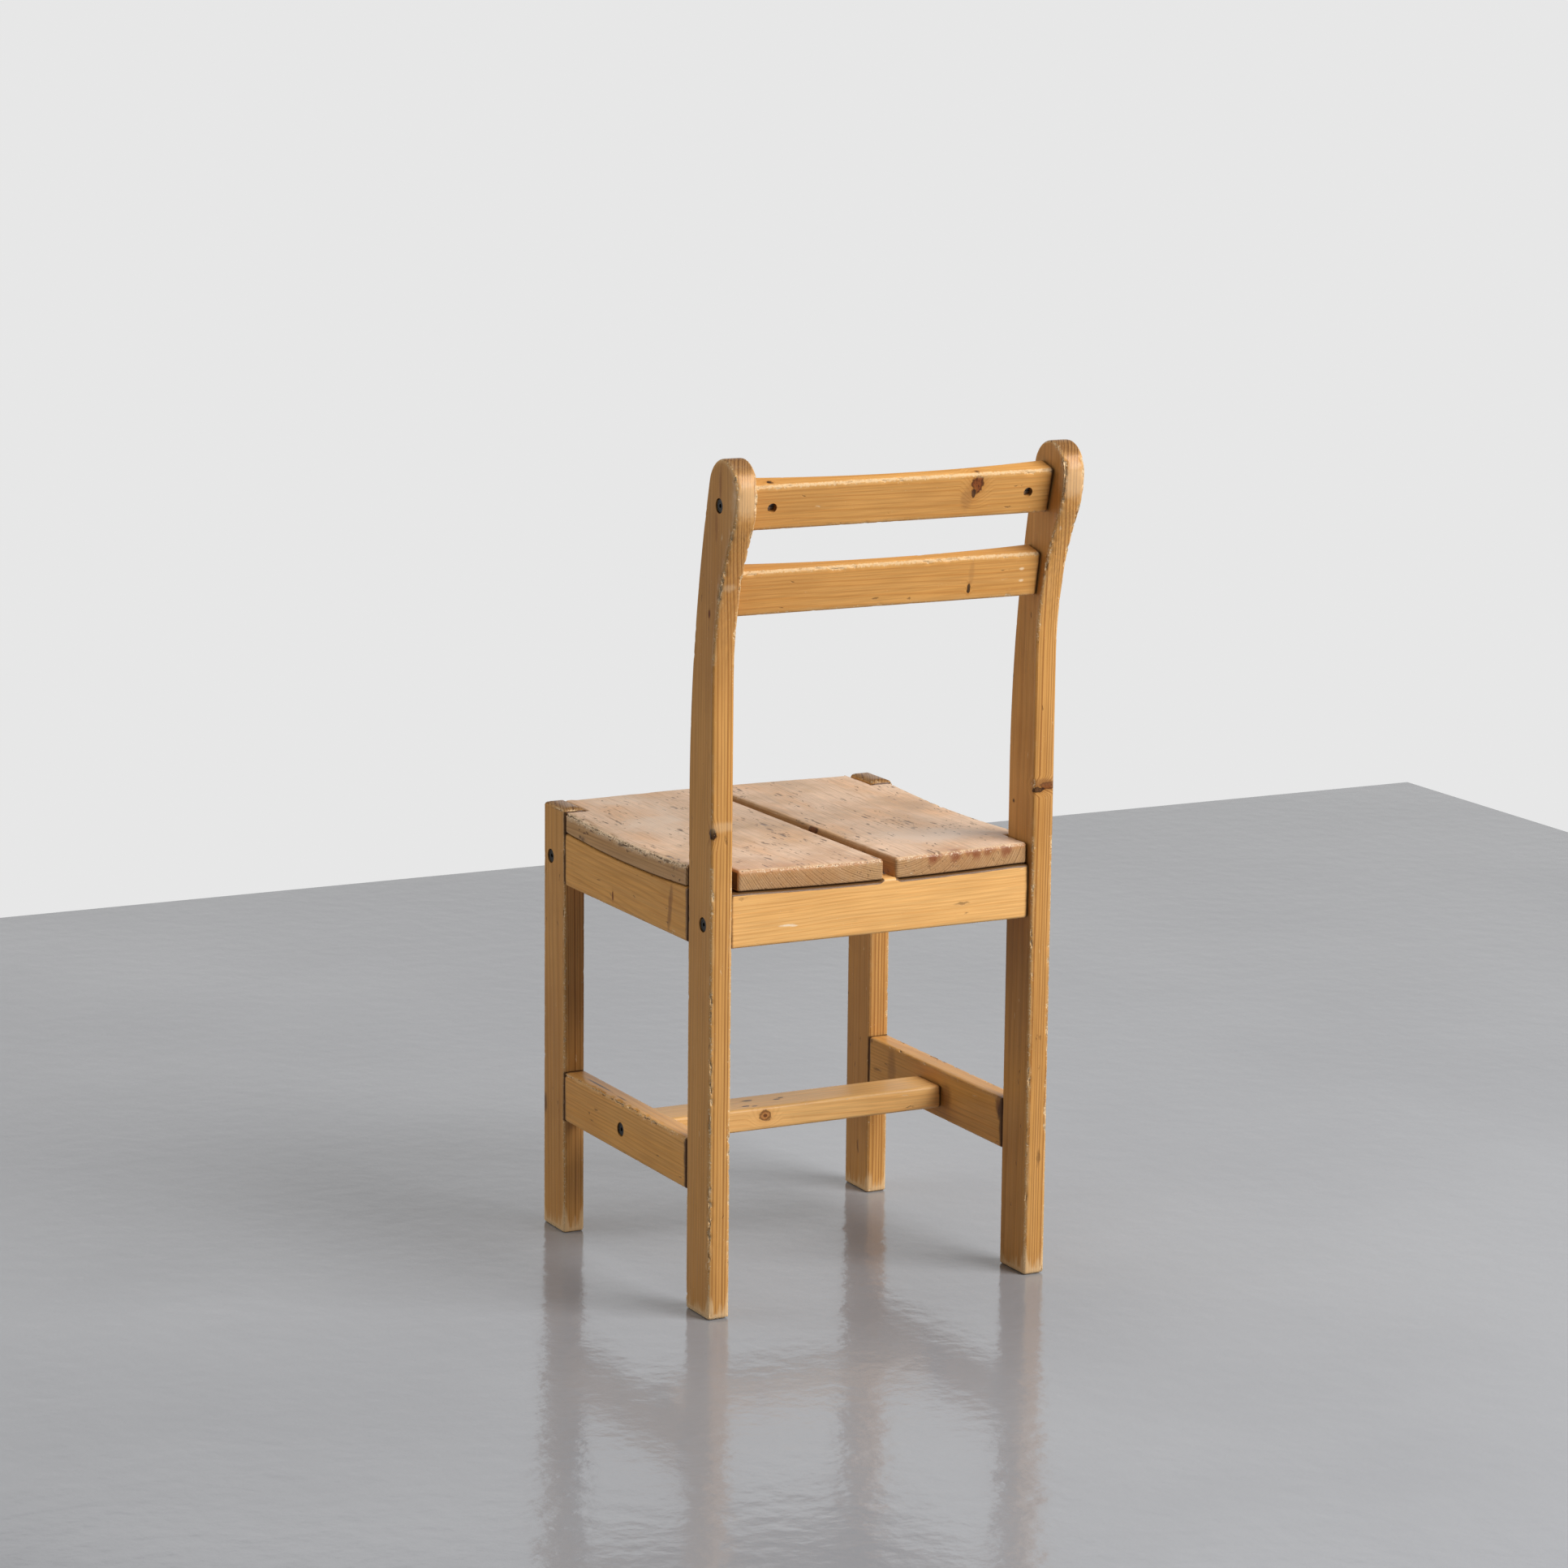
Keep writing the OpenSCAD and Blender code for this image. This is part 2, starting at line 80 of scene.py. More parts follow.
class Side(Enum):
    """The two sides of the chair, from the sitter's place."""

    LEFT = 1
    RIGHT = -1

    def node(self, stem: str) -> str:
        """The name of this side's CAD node, from its stem."""
        return f"{stem}_{self.name.lower()}"


class Slot(Enum):
    """The record's material slots."""

    VARNISHED = "varnished_pine"
    SEAT = "worn_seat_pine"
    BLACKENED = "blackened_steel"
    STEEL = "plain_steel"
    DOWEL = "dowel_wood"


# ------------------------------------------------------------------------------ bench work


def pick_only(piece: bpy.types.Object) -> None:
    """Select one object and make it the active one.

    Args:
        piece: The object.
    """
    bpy.ops.object.select_all(action="DESELECT")
    piece.select_set(True)
    bpy.context.view_layer.objects.active = piece


@contextmanager
def shaping(piece: bpy.types.Object, mode: str = "EDGE", everything: bool = False) -> Iterator[None]:
    """Open a piece in edit mode, and close it afterwards.

    Args:
        piece: The object.
        mode: What is selected: VERT, EDGE or FACE.
        everything: Whether all of it starts selected, or nothing.
    """
    pick_only(piece)
    bpy.ops.object.mode_set(mode="EDIT")
    bpy.ops.mesh.select_mode(type=mode)
    bpy.ops.mesh.select_all(action="SELECT" if everything else "DESELECT")
    yield
    bpy.ops.object.mode_set(mode="OBJECT")


def pick(piece: bpy.types.Object, kind: str, wanted: Callable[[Part], bool]) -> None:
    """Select some edges or faces of a piece that is open in edit mode, and nothing else.

    Args:
        piece: The object.
        kind: "edges" or "faces".
        wanted: Tells which to select.
    """
    mesh = bmesh.from_edit_mesh(piece.data)
    for part in getattr(mesh, kind):
        part.select_set(wanted(part))
    bmesh.update_edit_mesh(piece.data)


def settle(piece: bpy.types.Object) -> None:
    """Move an object's place, turn and scale into its mesh."""
    pick_only(piece)
    bpy.ops.object.transform_apply(location=True, rotation=True, scale=True)


def ease(value: float) -> float:
    """A smooth step from 0 to 1 as the value goes from 0 to 1."""
    share = min(1.0, max(0.0, value))
    return share * share * (3.0 - 2.0 * share)


def bow_of(half_chord: float, rise: float, offset: float) -> float:
    """How far a shallow arc has fallen from its highest line at an offset from its middle.

    Args:
        half_chord: Half the arc's chord.
        rise: The arc's rise over that chord.
        offset: Distance from the arc's middle.

    Returns:
        The fall, which is 0 at the middle and the rise at the chord's ends.
    """
    radius = (half_chord**2 + rise**2) / (2.0 * rise)
    reach = min(abs(offset), half_chord)
    return radius - math.sqrt(radius**2 - reach**2)


@dataclass(frozen=True)
class Bore:
    """A round hole.

    Attributes:
        mouth: Middle of the hole's mouth, on the face that it leaves by.
        axis: Direction of the hole.
        inward: 1 if the hole goes in along +axis, or -1.
        radius: Radius of the hole.
        depth: Depth of the hole.
    """

    mouth: Vector
    axis: Axis
    inward: int
    radius: float
    depth: float


@dataclass(frozen=True)
class Wear:
    """How the arrises of a piece have been rubbed and chipped.

    Attributes:
        band: Width of the rubbed band beside an arris.
        rounding: Depth rubbed off all along an arris.
        chipping: Depth of the deepest chips.
        spread: Share of the arris that is chipped, from 0 to 1.
        seed: Number that moves the chips to other places.
    """

    band: float = 7 * MM
    rounding: float = 0.3 * MM
    chipping: float = 0.9 * MM
    spread: float = 0.36
    chip_length: float = 8 * MM
    chip_width: float = 3 * MM
    seed: float = 0.0


class Workpiece:
    """One mesh on the bench, with the steps that shape it.

    Attributes:
        run_in: How far outside a face a drill starts.
        same: Distance below which two points are one.
        corner: Distance from an arris up to which its wear is full.
    """

    run_in = 1.7 * MM
    same = 0.01 * MM
    corner = 1.2 * MM

    def __init__(self, body: bpy.types.Object, name: str) -> None:
        """Take an object on to the bench under a name.

        Args:
            body: The object.
            name: Its name.
        """
        self.body = body
        self.body.name = name
        self.body.data.name = name
        self.arrises: list[Vector] = []

    @classmethod
    def block(cls, name: str, low: Vector, high: Vector) -> "Workpiece":
        """Saw a block between two corners.

        Args:
            name: Its name.
            low: Its lowest corner.
            high: Its highest corner.

        Returns:
            The block.
        """
        bpy.ops.object.select_all(action="DESELECT")
        bpy.ops.mesh.primitive_cube_add(size=1.0, location=(low + high) / 2, scale=high - low)
        settle(bpy.context.object)
        return cls(bpy.context.object, name)

    @classmethod
    def bar(cls, name: str, start: Vector, axis: Axis, length: float, radius: float,
            sides: int = 48) -> "Workpiece":
        """Turn a round bar.

        Args:
            name: The bar's name.
            start: Middle of its first end.
            axis: Direction that it runs in.
            length: Its length, negative where it runs the other way.
            radius: Its radius to the corners of its sides.
            sides: How many sides stand for the round.

        Returns:
            The bar.
        """
        turns = {Axis.X: (0.0, math.pi / 2, 0.0), Axis.Y: (-math.pi / 2, 0.0, 0.0), Axis.Z: (0.0,) * 3}
        bpy.ops.object.select_all(action="DESELECT")
        bpy.ops.mesh.primitive_cylinder_add(
            vertices=sides, radius=radius, depth=abs(length),
            location=start + axis.unit() * length / 2, rotation=turns[axis],
        )
        settle(bpy.context.object)
        return cls(bpy.context.object, name)

    @classmethod
    def spot(cls, name: str, place: Vector) -> "Workpiece":
        """Set down a single point, from which an outline is drawn.

        Args:
            name: Its name.
            place: Its place.

        Returns:
            The point.
        """
        bpy.ops.object.select_all(action="DESELECT")
        bpy.ops.mesh.primitive_plane_add(size=MM, location=place)
        settle(bpy.context.object)
        piece = cls(bpy.context.object, name)
        with shaping(piece.body, everything=True):
            bpy.ops.mesh.merge(type="CENTER")
        return piece

    @property
    def mesh(self) -> bpy.types.Mesh:
        """The piece's mesh."""
        return self.body.data

    def twin(self, name: str) -> "Workpiece":
        """Copy the piece, with a mesh of its own.

        Args:
            name: The copy's name.

        Returns:
            The copy.
        """
        pick_only(self.body)
        bpy.ops.object.duplicate(linked=False)
        copy = Workpiece(bpy.context.object, name)
        copy.arrises = [spot.copy() for spot in self.arrises]
        return copy

    def mirrored(self, name: str) -> "Workpiece":
        """Copy the piece to the other side of the chair, as its mirror image.

        Args:
            name: The copy's name.

        Returns:
            The copy.
        """
        copy = self.twin(name)
        with shaping(copy.body, everything=True):
            bpy.ops.transform.resize(value=(-1.0, 1.0, 1.0), center_override=(0.0, 0.0, 0.0))
            bpy.ops.mesh.remove_doubles(threshold=self.same)
            bpy.ops.mesh.normals_make_consistent(inside=False)
        copy.arrises = [Vector((-spot.x, spot.y, spot.z)) for spot in self.arrises]
        return copy

    def line(self, step: Vector) -> None:
        """Draw a straight stretch of an outline on from its last point."""
        bpy.ops.mesh.extrude_vertices_move(TRANSFORM_OT_translate={"value": step})

    def arc(self, centre: Vector, sweep: float, chord: float) -> None:
        """Draw a round stretch of a side outline on from its last point.

        Args:
            centre: Middle of the arc.
            sweep: Angle about +X, from +Y towards +Z.
            chord: Length of each step along the arc.
        """
        mesh = bmesh.from_edit_mesh(self.mesh)
        radius = next((v.co - centre).length for v in mesh.verts if v.select)
        steps = max(2, round(abs(sweep) * radius / chord))
        bpy.ops.mesh.spin(
            steps=steps, angle=-sweep, center=centre, axis=(1.0, 0.0, 0.0), use_auto_merge=False
        )

    def fill_and_thicken(self, step: Vector) -> None:
        """Close a drawn outline with a face, and give it a thickness.

        Args:
            step: The thickness and its direction.
        """
        bpy.ops.mesh.select_all(action="SELECT")
        bpy.ops.mesh.remove_doubles(threshold=2 * self.same)
        bpy.ops.mesh.edge_face_add()
        bpy.ops.mesh.extrude_region_move(TRANSFORM_OT_translate={"value": step})
        bpy.ops.mesh.select_all(action="SELECT")
        bpy.ops.mesh.normals_make_consistent(inside=False)

    def note_arrises(self, spacing: float = MM) -> None:
        """Remember where the sharp arrises run, while the blank still has them.

        Args:
            spacing: Distance between the noted points.
        """
        mesh = bmesh.new()
        mesh.from_mesh(self.mesh)
        for edge in mesh.edges:
            if edge.calc_face_angle(0.0) > SHARP:
                start, end = (vertex.co for vertex in edge.verts)
                count = max(1, math.ceil((end - start).length / spacing))
                self.arrises += [start.lerp(end, number / count) for number in range(count + 1)]
        mesh.free()

    def round_arrises(self, radius: float, steps: int = 4) -> None:
        """Round over every sharp arris.

        Args:
            radius: Radius of the rounding.
            steps: Facets across it.
        """
        self.note_arrises()
        with shaping(self.body):
            bpy.ops.mesh.edges_select_sharp(sharpness=SHARP)
            bpy.ops.mesh.bevel(offset=radius, offset_type="OFFSET", segments=steps, affect="EDGES")

    def slice(self, axis: Axis, places: Iterable[float]) -> None:
        """Cut lines across the piece, at places along an axis.

        Args:
            axis: The axis.
            places: The places.
        """
        with shaping(self.body):
            for place in places:
                bpy.ops.mesh.select_all(action="SELECT")
                bpy.ops.mesh.bisect(plane_co=axis.unit() * place, plane_no=axis.unit())

    def line_margins(self, low: Vector, high: Vector, margins: Sequence[float]) -> None:
        """Cut lines beside the arrises of a block, so that their wear has points to sit on.

        Args:
            low: The block's lowest corner.
            high: The block's highest corner.
            margins: Distances of the lines from its faces.
        """
        for axis in Axis:
            near, far = low[axis.value], high[axis.value]
            places = [place for margin in margins for place in (near + margin, far - margin)]
            self.slice(axis, [place for place in places if near < place < far])

    def divide(self, axis: Axis, spacing: float) -> None:
        """Divide the long runs along an axis into steps of about one spacing.

        Args:
            axis: The axis.
            spacing: The spacing.
        """
        values = [vertex.co[axis.value] for vertex in self.mesh.vertices]
        low, high = min(values), max(values)
        count = round((high - low) / spacing)
        self.slice(axis, [low + (high - low) * number / count for number in range(1, count)])

    def cut(self, tool: "Workpiece") -> None:
        """Cut another workpiece's shape out of this one, and throw that one away.

        Args:
            tool: The workpiece that cuts.
        """
        modifier = self.body.modifiers.new("cut", "BOOLEAN")
        modifier.operation = "DIFFERENCE"
        modifier.solver = "EXACT"
        modifier.object = tool.body
        self.apply(modifier)
        bpy.data.objects.remove(tool.body)

    def bore(self, holes: Iterable[Bore]) -> None:
        """Drill round holes.

        Args:
            holes: The holes.
        """
        for hole in holes:
            start = hole.mouth - hole.axis.unit() * hole.inward * self.run_in
            length = (hole.depth + self.run_in) * hole.inward
            self.cut(Workpiece.bar("drill", start, hole.axis, length, hole.radius))

    def apply(self, modifier: bpy.types.Modifier) -> None:
        """Apply a modifier to the mesh."""
        pick_only(self.body)
        bpy.ops.object.modifier_apply(modifier=modifier.name)

    def push(self, direction: str, depth: float, shares: Sequence[float]) -> None:
        """Move each point by its own share of a depth.

        Args:
            direction: "X", "Y", "Z" or "NORMAL".
            depth: Distance that a share of 1 moves, negative to go the other way.
            shares: Each point's share, from 0 to 1.
        """
        group = self.body.vertex_groups.new(name="push")
        for index, share in enumerate(shares):
            if share > 0.0:
                group.add([index], share, "REPLACE")
        modifier = self.body.modifiers.new("push", "DISPLACE")
        modifier.direction = direction
        modifier.strength = depth
        modifier.mid_level = 0.0
        modifier.vertex_group = group.name
        self.apply(modifier)
        self.body.vertex_groups.clear()

    def lean(self, tilt: float, centre: Vector) -> None:
        """Lean the piece back about a line along X, with its top going towards +Y."""
        with shaping(self.body, everything=True):
            bpy.ops.transform.rotate(value=tilt, orient_axis="X", center_override=centre)

    def shift(self, step: Vector) -> None:
        """Move the whole piece."""
        with shaping(self.body, everything=True):
            bpy.ops.transform.translate(value=step)

    def write(self, name: str, values: Sequence[float]) -> None:
        """Write one number per point, which a finish can read by name."""
        self.mesh.attributes.new(name, "FLOAT", "POINT").data.foreach_set("value", values)

    def weather(self, wear: Wear, grain: Axis, exposure: Measure,
                shelter: Measure) -> None:
        """Rub and chip the arrises, and note where for the finish.

        Args:
            wear: How hard the piece has been used.
            grain: Direction of the grain, along which chips run.
            exposure: How open to knocks a place on an arris is, from 0 to about 2.
            shelter: How far a place lies in a corner that holds soiling and painted shade, from 0 to 1.
        """
        tree = kdtree.KDTree(len(self.arrises))
        for index, spot in enumerate(self.arrises):
            tree.insert(spot, index)
        tree.balance()
        rates = Vector([1.0 / wear.chip_width] * 3)
        rates[grain.value] = 1.0 / wear.chip_length
        offset = SEED_STEP * wear.seed
        limit = 2.0 * (wear.rounding + wear.chipping)
        nearness, chips, losses = [], [], []
        for vertex in self.mesh.vertices:
            spot, _, distance = tree.find(vertex.co)
            strength = exposure(spot)
            near = min(1.0, max(0.0, (wear.band - distance) / (wear.band - self.corner)))
            at = vertex.co * rates + offset
            pattern = noise.noise(at) + 0.5 * noise.noise(at * 2.3) + 0.6 * noise.noise(at * 0.23)
            chip = ease((pattern - 0.75 + wear.spread * strength) * 2.2) * ease(near * 1.6 - 0.35)
            loss = near**2 * wear.rounding * strength + chip * wear.chipping * min(1.5, strength)
            nearness.append(near * min(1.0, strength))
            chips.append(chip)
            losses.append(min(1.0, loss / limit))
        self.write("near", nearness)
        self.write("chip", chips)
        # Corners and joints get a value that later darkens them with soiling and painted shade.
        self.write("dirt", [shelter(vertex.co) for vertex in self.mesh.vertices])
        self.push("NORMAL", -limit, losses)

    def smooth(self, angle: float = 35.0) -> None:
        """Shade the piece smooth, apart from arrises sharper than an angle in degrees."""
        pick_only(self.body)
        bpy.ops.object.shade_smooth_by_angle(angle=math.radians(angle))

    def hand_in(self, node: str, slot: Slot) -> None:
        """Fix the piece to the frame in place of a CAD node.

        Args:
            node: The CAD node.
            slot: Its material slot; not used.
        """
        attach(self.body, "root")
        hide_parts(node)
        log.info("%s: %d faces, for %s", self.body.name, len(self.mesh.polygons), node)


# --------------------------------------------------------------------------------- shader nodes


class Signal:
    """A number, a vector or a colour that runs through a shader tree, with the usual sums."""

    def __init__(self, net: "Net", socket: bpy.types.NodeSocket) -> None:
        """Take up a node's output."""
        self.net = net
        self.socket = socket

    def __add__(self, other: "Link") -> "Signal":
        """This number and another together."""
        return self.net.maths("ADD", self, other)

    def __sub__(self, other: "Link") -> "Signal":
        """This number less another."""
        return self.net.maths("SUBTRACT", self, other)

    def __rsub__(self, other: float) -> "Signal":
        """A plain number less this one."""
        return self.net.maths("SUBTRACT", other, self)

    def __mul__(self, other: "Link") -> "Signal":
        """This number times another."""
        return self.net.maths("MULTIPLY", self, other)

    def __truediv__(self, other: "Link") -> "Signal":
        """This number divided by another."""
        return self.net.maths("DIVIDE", self, other)

    def __abs__(self) -> "Signal":
        """This number without its sign."""
        return self.net.maths("ABSOLUTE", self)

    def or_more(self, other: "Link") -> "Signal":
        """The larger of this number and another."""
        return self.net.maths("MAXIMUM", self, other)

    def step(self, low: float, high: float, top: float = 1.0) -> "Signal":
        """A smooth step from 0 where this number is low to top where it is high."""
        inputs = {"Value": self, "From Min": low, "From Max": high, "To Max": top}
        return self.net.take("ShaderNodeMapRange", "Result", inputs, interpolation_type="SMOOTHSTEP")

    def spread(self, rates: "Link") -> "Signal":
        """This vector with each part multiplied by a rate of its own."""
        return self.net.vector("MULTIPLY", self, rates)

    def scaled(self, amount: "Link") -> "Signal":
        """This vector made longer or shorter."""
        inputs = {"Vector": self, "Scale": amount}
        return self.net.take("ShaderNodeVectorMath", "Vector", inputs, operation="SCALE")

    def length(self) -> "Signal":
        """This vector's length."""
        return self.net.take("ShaderNodeVectorMath", "Value", {0: self}, operation="LENGTH")

    def parts(self) -> list["Signal"]:
        """This vector's parts along X, Y and Z."""
        node = self.net.add("ShaderNodeSeparateXYZ", {0: self})
        return list(self.net.outputs(node).values())

    def noise(self, scale: float, detail: float, output: str = "Fac") -> "Signal":
        """Smooth noise at this place."""
        inputs = {"Vector": self, "Scale": scale, "Detail": detail}
        return self.net.take("ShaderNodeTexNoise", output, inputs)


Link = Signal | float | Sequence[float]


class Net:
    """Adds nodes to one shader tree and joins their sockets."""

    def __init__(self, tree: bpy.types.NodeTree) -> None:
        """Work on a tree."""
        self.tree = tree

    def feed(self, socket: bpy.types.NodeSocket, value: Link) -> None:
        """Join a socket to a signal, or set it to a plain value.

        Args:
            socket: A node's input.
            value: What it takes.
        """
        if isinstance(value, Signal):
            self.tree.links.new(value.socket, socket)
        elif socket.type == "RGBA" and len(value) == 3:
            socket.default_value = (*value, 1.0)
        else:
            socket.default_value = value

    def add(self, kind: str, inputs: dict | None = None, **settings: object) -> bpy.types.Node:
        """Add a node.

        Args:
            kind: The node's type.
            inputs: What its sockets take, by name or number.
            **settings: Its own settings.

        Returns:
            The node.
        """
        node = self.tree.nodes.new(kind)
        for name, setting in settings.items():
            setattr(node, name, setting)
        for key, value in (inputs or {}).items():
            self.feed(node.inputs[key], value)
        return node

    def outputs(self, node: bpy.types.Node) -> dict[str, Signal]:
        """All that a node gives, by name."""
        return {socket.name: Signal(self, socket) for socket in node.outputs}

    def take(self, kind: str, output: str | int, inputs: dict | None = None, **settings: object) -> Signal:
        """Add a node and take one of its outputs, by name or number."""
        return Signal(self, self.add(kind, inputs, **settings).outputs[output])

    def maths(self, operation: str, *values: Link) -> Signal:
        """The result of a sum on numbers."""
        return self.take("ShaderNodeMath", 0, dict(enumerate(values)), operation=operation)

    def vector(self, operation: str, *values: Link) -> Signal:
        """The vector that a sum on vectors gives."""
        return self.take("ShaderNodeVectorMath", "Vector", dict(enumerate(values)), operation=operation)

    def blend(self, share: Link, base: Link, over: Link, mode: str = "MIX") -> Signal:
        """One colour laid over another, by a share from 0 to 1."""
        inputs = {0: share, 6: base, 7: over}
        return self.take("ShaderNodeMix", 2, inputs, data_type="RGBA", blend_type=mode)

    def place(self) -> Signal:
        """The place on the piece, in the part's frame."""
        return self.take("ShaderNodeTexCoord", "Object")

    def bump(self, height: Signal, strength: float, depth: float) -> Signal:
        """The normal of a surface that a relief is pressed into."""
        inputs = {"Height": height, "Strength": strength, "Distance": depth}
        return self.take("ShaderNodeBump", "Normal", inputs)

    def surface(self, inputs: dict) -> None:
        """End a material's tree with a Principled BSDF."""
        shader = self.take("ShaderNodeBsdfPrincipled", "BSDF", inputs)
        self.add("ShaderNodeOutputMaterial", {"Surface": shader})


class Effect:
    """A surface effect that several finishes share, as one shader node group.

    Attributes:
        label: The group's name.
        inputs: Names and default values of what it takes. A triple is a vector.
        outputs: Names of the numbers that it gives.
    """

    label = ""
    inputs: dict[str, float | Place] = {}
    outputs: tuple[str, ...] = ()

    def wire(self, net: Net, given: dict[str, Signal]) -> list[Signal]:
        """Build the effect's inside."""
        raise NotImplementedError

    def tree(self) -> bpy.types.NodeTree:
        """Find the group, which is built on its first use.

        Returns:
            The group's node tree.
        """
        if self.label in bpy.data.node_groups:
            return bpy.data.node_groups[self.label]
        tree = bpy.data.node_groups.new(self.label, "ShaderNodeTree")
        for name, value in self.inputs.items():
            kind = "NodeSocketFloat" if isinstance(value, float) else "NodeSocketVector"
            tree.interface.new_socket(name, in_out="INPUT", socket_type=kind).default_value = value
        for name in self.outputs:
            tree.interface.new_socket(name, in_out="OUTPUT", socket_type="NodeSocketFloat")
        net = Net(tree)
        given = net.outputs(net.add("NodeGroupInput"))
        net.add("NodeGroupOutput", dict(zip(self.outputs, self.wire(net, given))))
        return tree

    def place(self, net: Net, **values: Link) -> dict[str, Signal]:
        """Put the effect into a material.

        Args:
            net: The material's node net.
            **values: What its inputs take, by name.

        Returns:
            What its outputs give, by name.
        """
        node = net.add("ShaderNodeGroup", node_tree=self.tree(), label=self.label)
        for name, value in values.items():
            net.feed(node.inputs[name], value)
        return net.outputs(node)


class GrowthRings(Effect):
    """Growth rings and fibres of a log whose pith runs along Z through the origin."""

    label = "growth rings"
    inputs = {"Vector": (0.0, 0.0, 0.0), "Spacing": 2.6 * MM, "Wander": 14 * MM, "Swell": 0.0}
    outputs = ("Latewood", "Fibre", "Streak", "Pore")

    def wire(self, net: Net, given: dict[str, Signal]) -> list[Signal]:
        """Build the rings, the fibres, the slow streaks between rings and the long dark pores.

        Args:
            net: The group's node net.
            given: Its inputs.

        Returns:
            Its outputs, in order.
        """
        at = given["Vector"]
        slow = at.spread((11.0, 11.0, 2.2)).noise(1.0, 3.0, "Color")
        drift = net.vector("SUBTRACT", slow, (0.5, 0.5, 0.5))
        bent = net.vector("ADD", at, drift.scaled(given["Wander"]))
        radius = bent.spread((1.0, 1.0, 0.0)).length()
        even = (radius + given["Swell"]) / given["Spacing"]
        years = net.take("ShaderNodeTexNoise", "Fac", {"W": even, "Scale": 0.37}, noise_dimensions="1D")
        phase = years * 1.4 + even
        part = net.maths("FRACT", phase)
        ring = net.maths("FLOOR", phase)
        year = net.take("ShaderNodeTexWhiteNoise", "Value", {"W": ring}, noise_dimensions="1D")
        late = part.step(0.42, 0.86) * part.step(1.0, 0.88) * (year * 0.6 + 0.4)
        fibre = at.spread((650.0, 650.0, 14.0)).noise(1.0, 3.0).step(0.3, 0.7)
        streak = at.spread((90.0, 90.0, 3.0)).noise(1.0, 2.0).step(0.3, 0.7)
        pore = at.spread((420.0, 420.0, 9.0)).noise(1.0, 2.0).step(0.58, 0.7)
        return [late, fibre, streak, pore]


class KnotMark(Effect):
    """A knot or a stain round one place, with the swelling that turns the grain round it."""

    label = "knot"
    inputs = {
        "Vector": (0.0, 0.0, 0.0), "Place": (0.0, 0.0, 0.0), "Stretch": (1.0, 1.0, 1.0), "Radius": 5 * MM,
        "Pull": 1.0,
    }
    outputs = ("Core", "Halo", "Swell", "Rim")

    def wire(self, net: Net, given: dict[str, Signal]) -> list[Signal]:
        """Build the core, the halo round it, the grain's swelling and the dark rim.

        Args:
            net: The group's node net.
            given: Its inputs.

        Returns:
            Its outputs, in order.
        """
        at = given["Vector"]
        apart = net.vector("SUBTRACT", at, given["Place"])
        distance = apart.spread(given["Stretch"]).length() / given["Radius"]
        ragged = distance + (at.noise(210.0, 4.0) * 1.3 - 0.65)
        core = ragged.step(1.1, 0.8)
        halo = ragged.step(2.4, 0.8)
        swell = distance.step(3.6, 0.3) * (given["Radius"] * given["Pull"])
        outline = ragged.step(0.6, 0.9) * ragged.step(1.2, 1.0)
        crack = at.spread((1.0, 1.0, 0.3)).noise(900.0, 2.0)
        return [core, halo, swell, outline.or_more(crack.step(0.56, 0.66) * core)]


class ArrisWear(Effect):
    """Varnish that is rubbed thin near the arrises, wood laid bare in the chips, soiling in the chips, and
    soiling and painted shade in corners and joints.
    """

    label = "arris wear"
    inputs = {
        "Vector": (0.0, 0.0, 0.0), "Near": 0.0, "Chip": 0.0, "Shelter": 0.0, "Rubbing": 1.0, "Specks": 0.5,
    }
    outputs = ("Rubbed", "Bare", "Dirt")

    def wire(self, net: Net, given: dict[str, Signal]) -> list[Signal]:
        """Build the rubbed band, the bare chips, the soiling in chips, and the soiling and painted shade in
        corners.

        Args:
            net: The group's node net.
            given: Its inputs.

        Returns:
            Its outputs, in order.
        """
        at, chip = given["Vector"], given["Chip"]
        patchy = at.noise(60.0, 4.0)
        fine = at.noise(520.0, 3.0)
        speck = net.vector("ADD", at, (3.0, 1.0, 2.0)).noise(640.0, 2.0)
        reach = given["Near"] * given["Rubbing"]
        rubbed = (reach + (patchy * 1.3 - 0.75)).step(0.3, 1.0)
        edge = net.maths("POWER", reach, 3.0)
        bare = (edge * 0.5 + (chip * 0.75 + (fine * 2.2 - 1.1))).step(0.4, 0.75)
        specks = (speck + (chip * 0.3 + edge * 0.12)).step(0.74, 0.86)
        specks = specks * reach.step(0.3, 0.7) * given["Specks"]
        # Corners, joints and the boards' undersides are darkened here with soiling and painted shade.
        corner = patchy * 0.8 + (given["Shelter"] - 0.4)
        return [rubbed, bare, specks.or_more(corner.step(0.1, 0.75))]


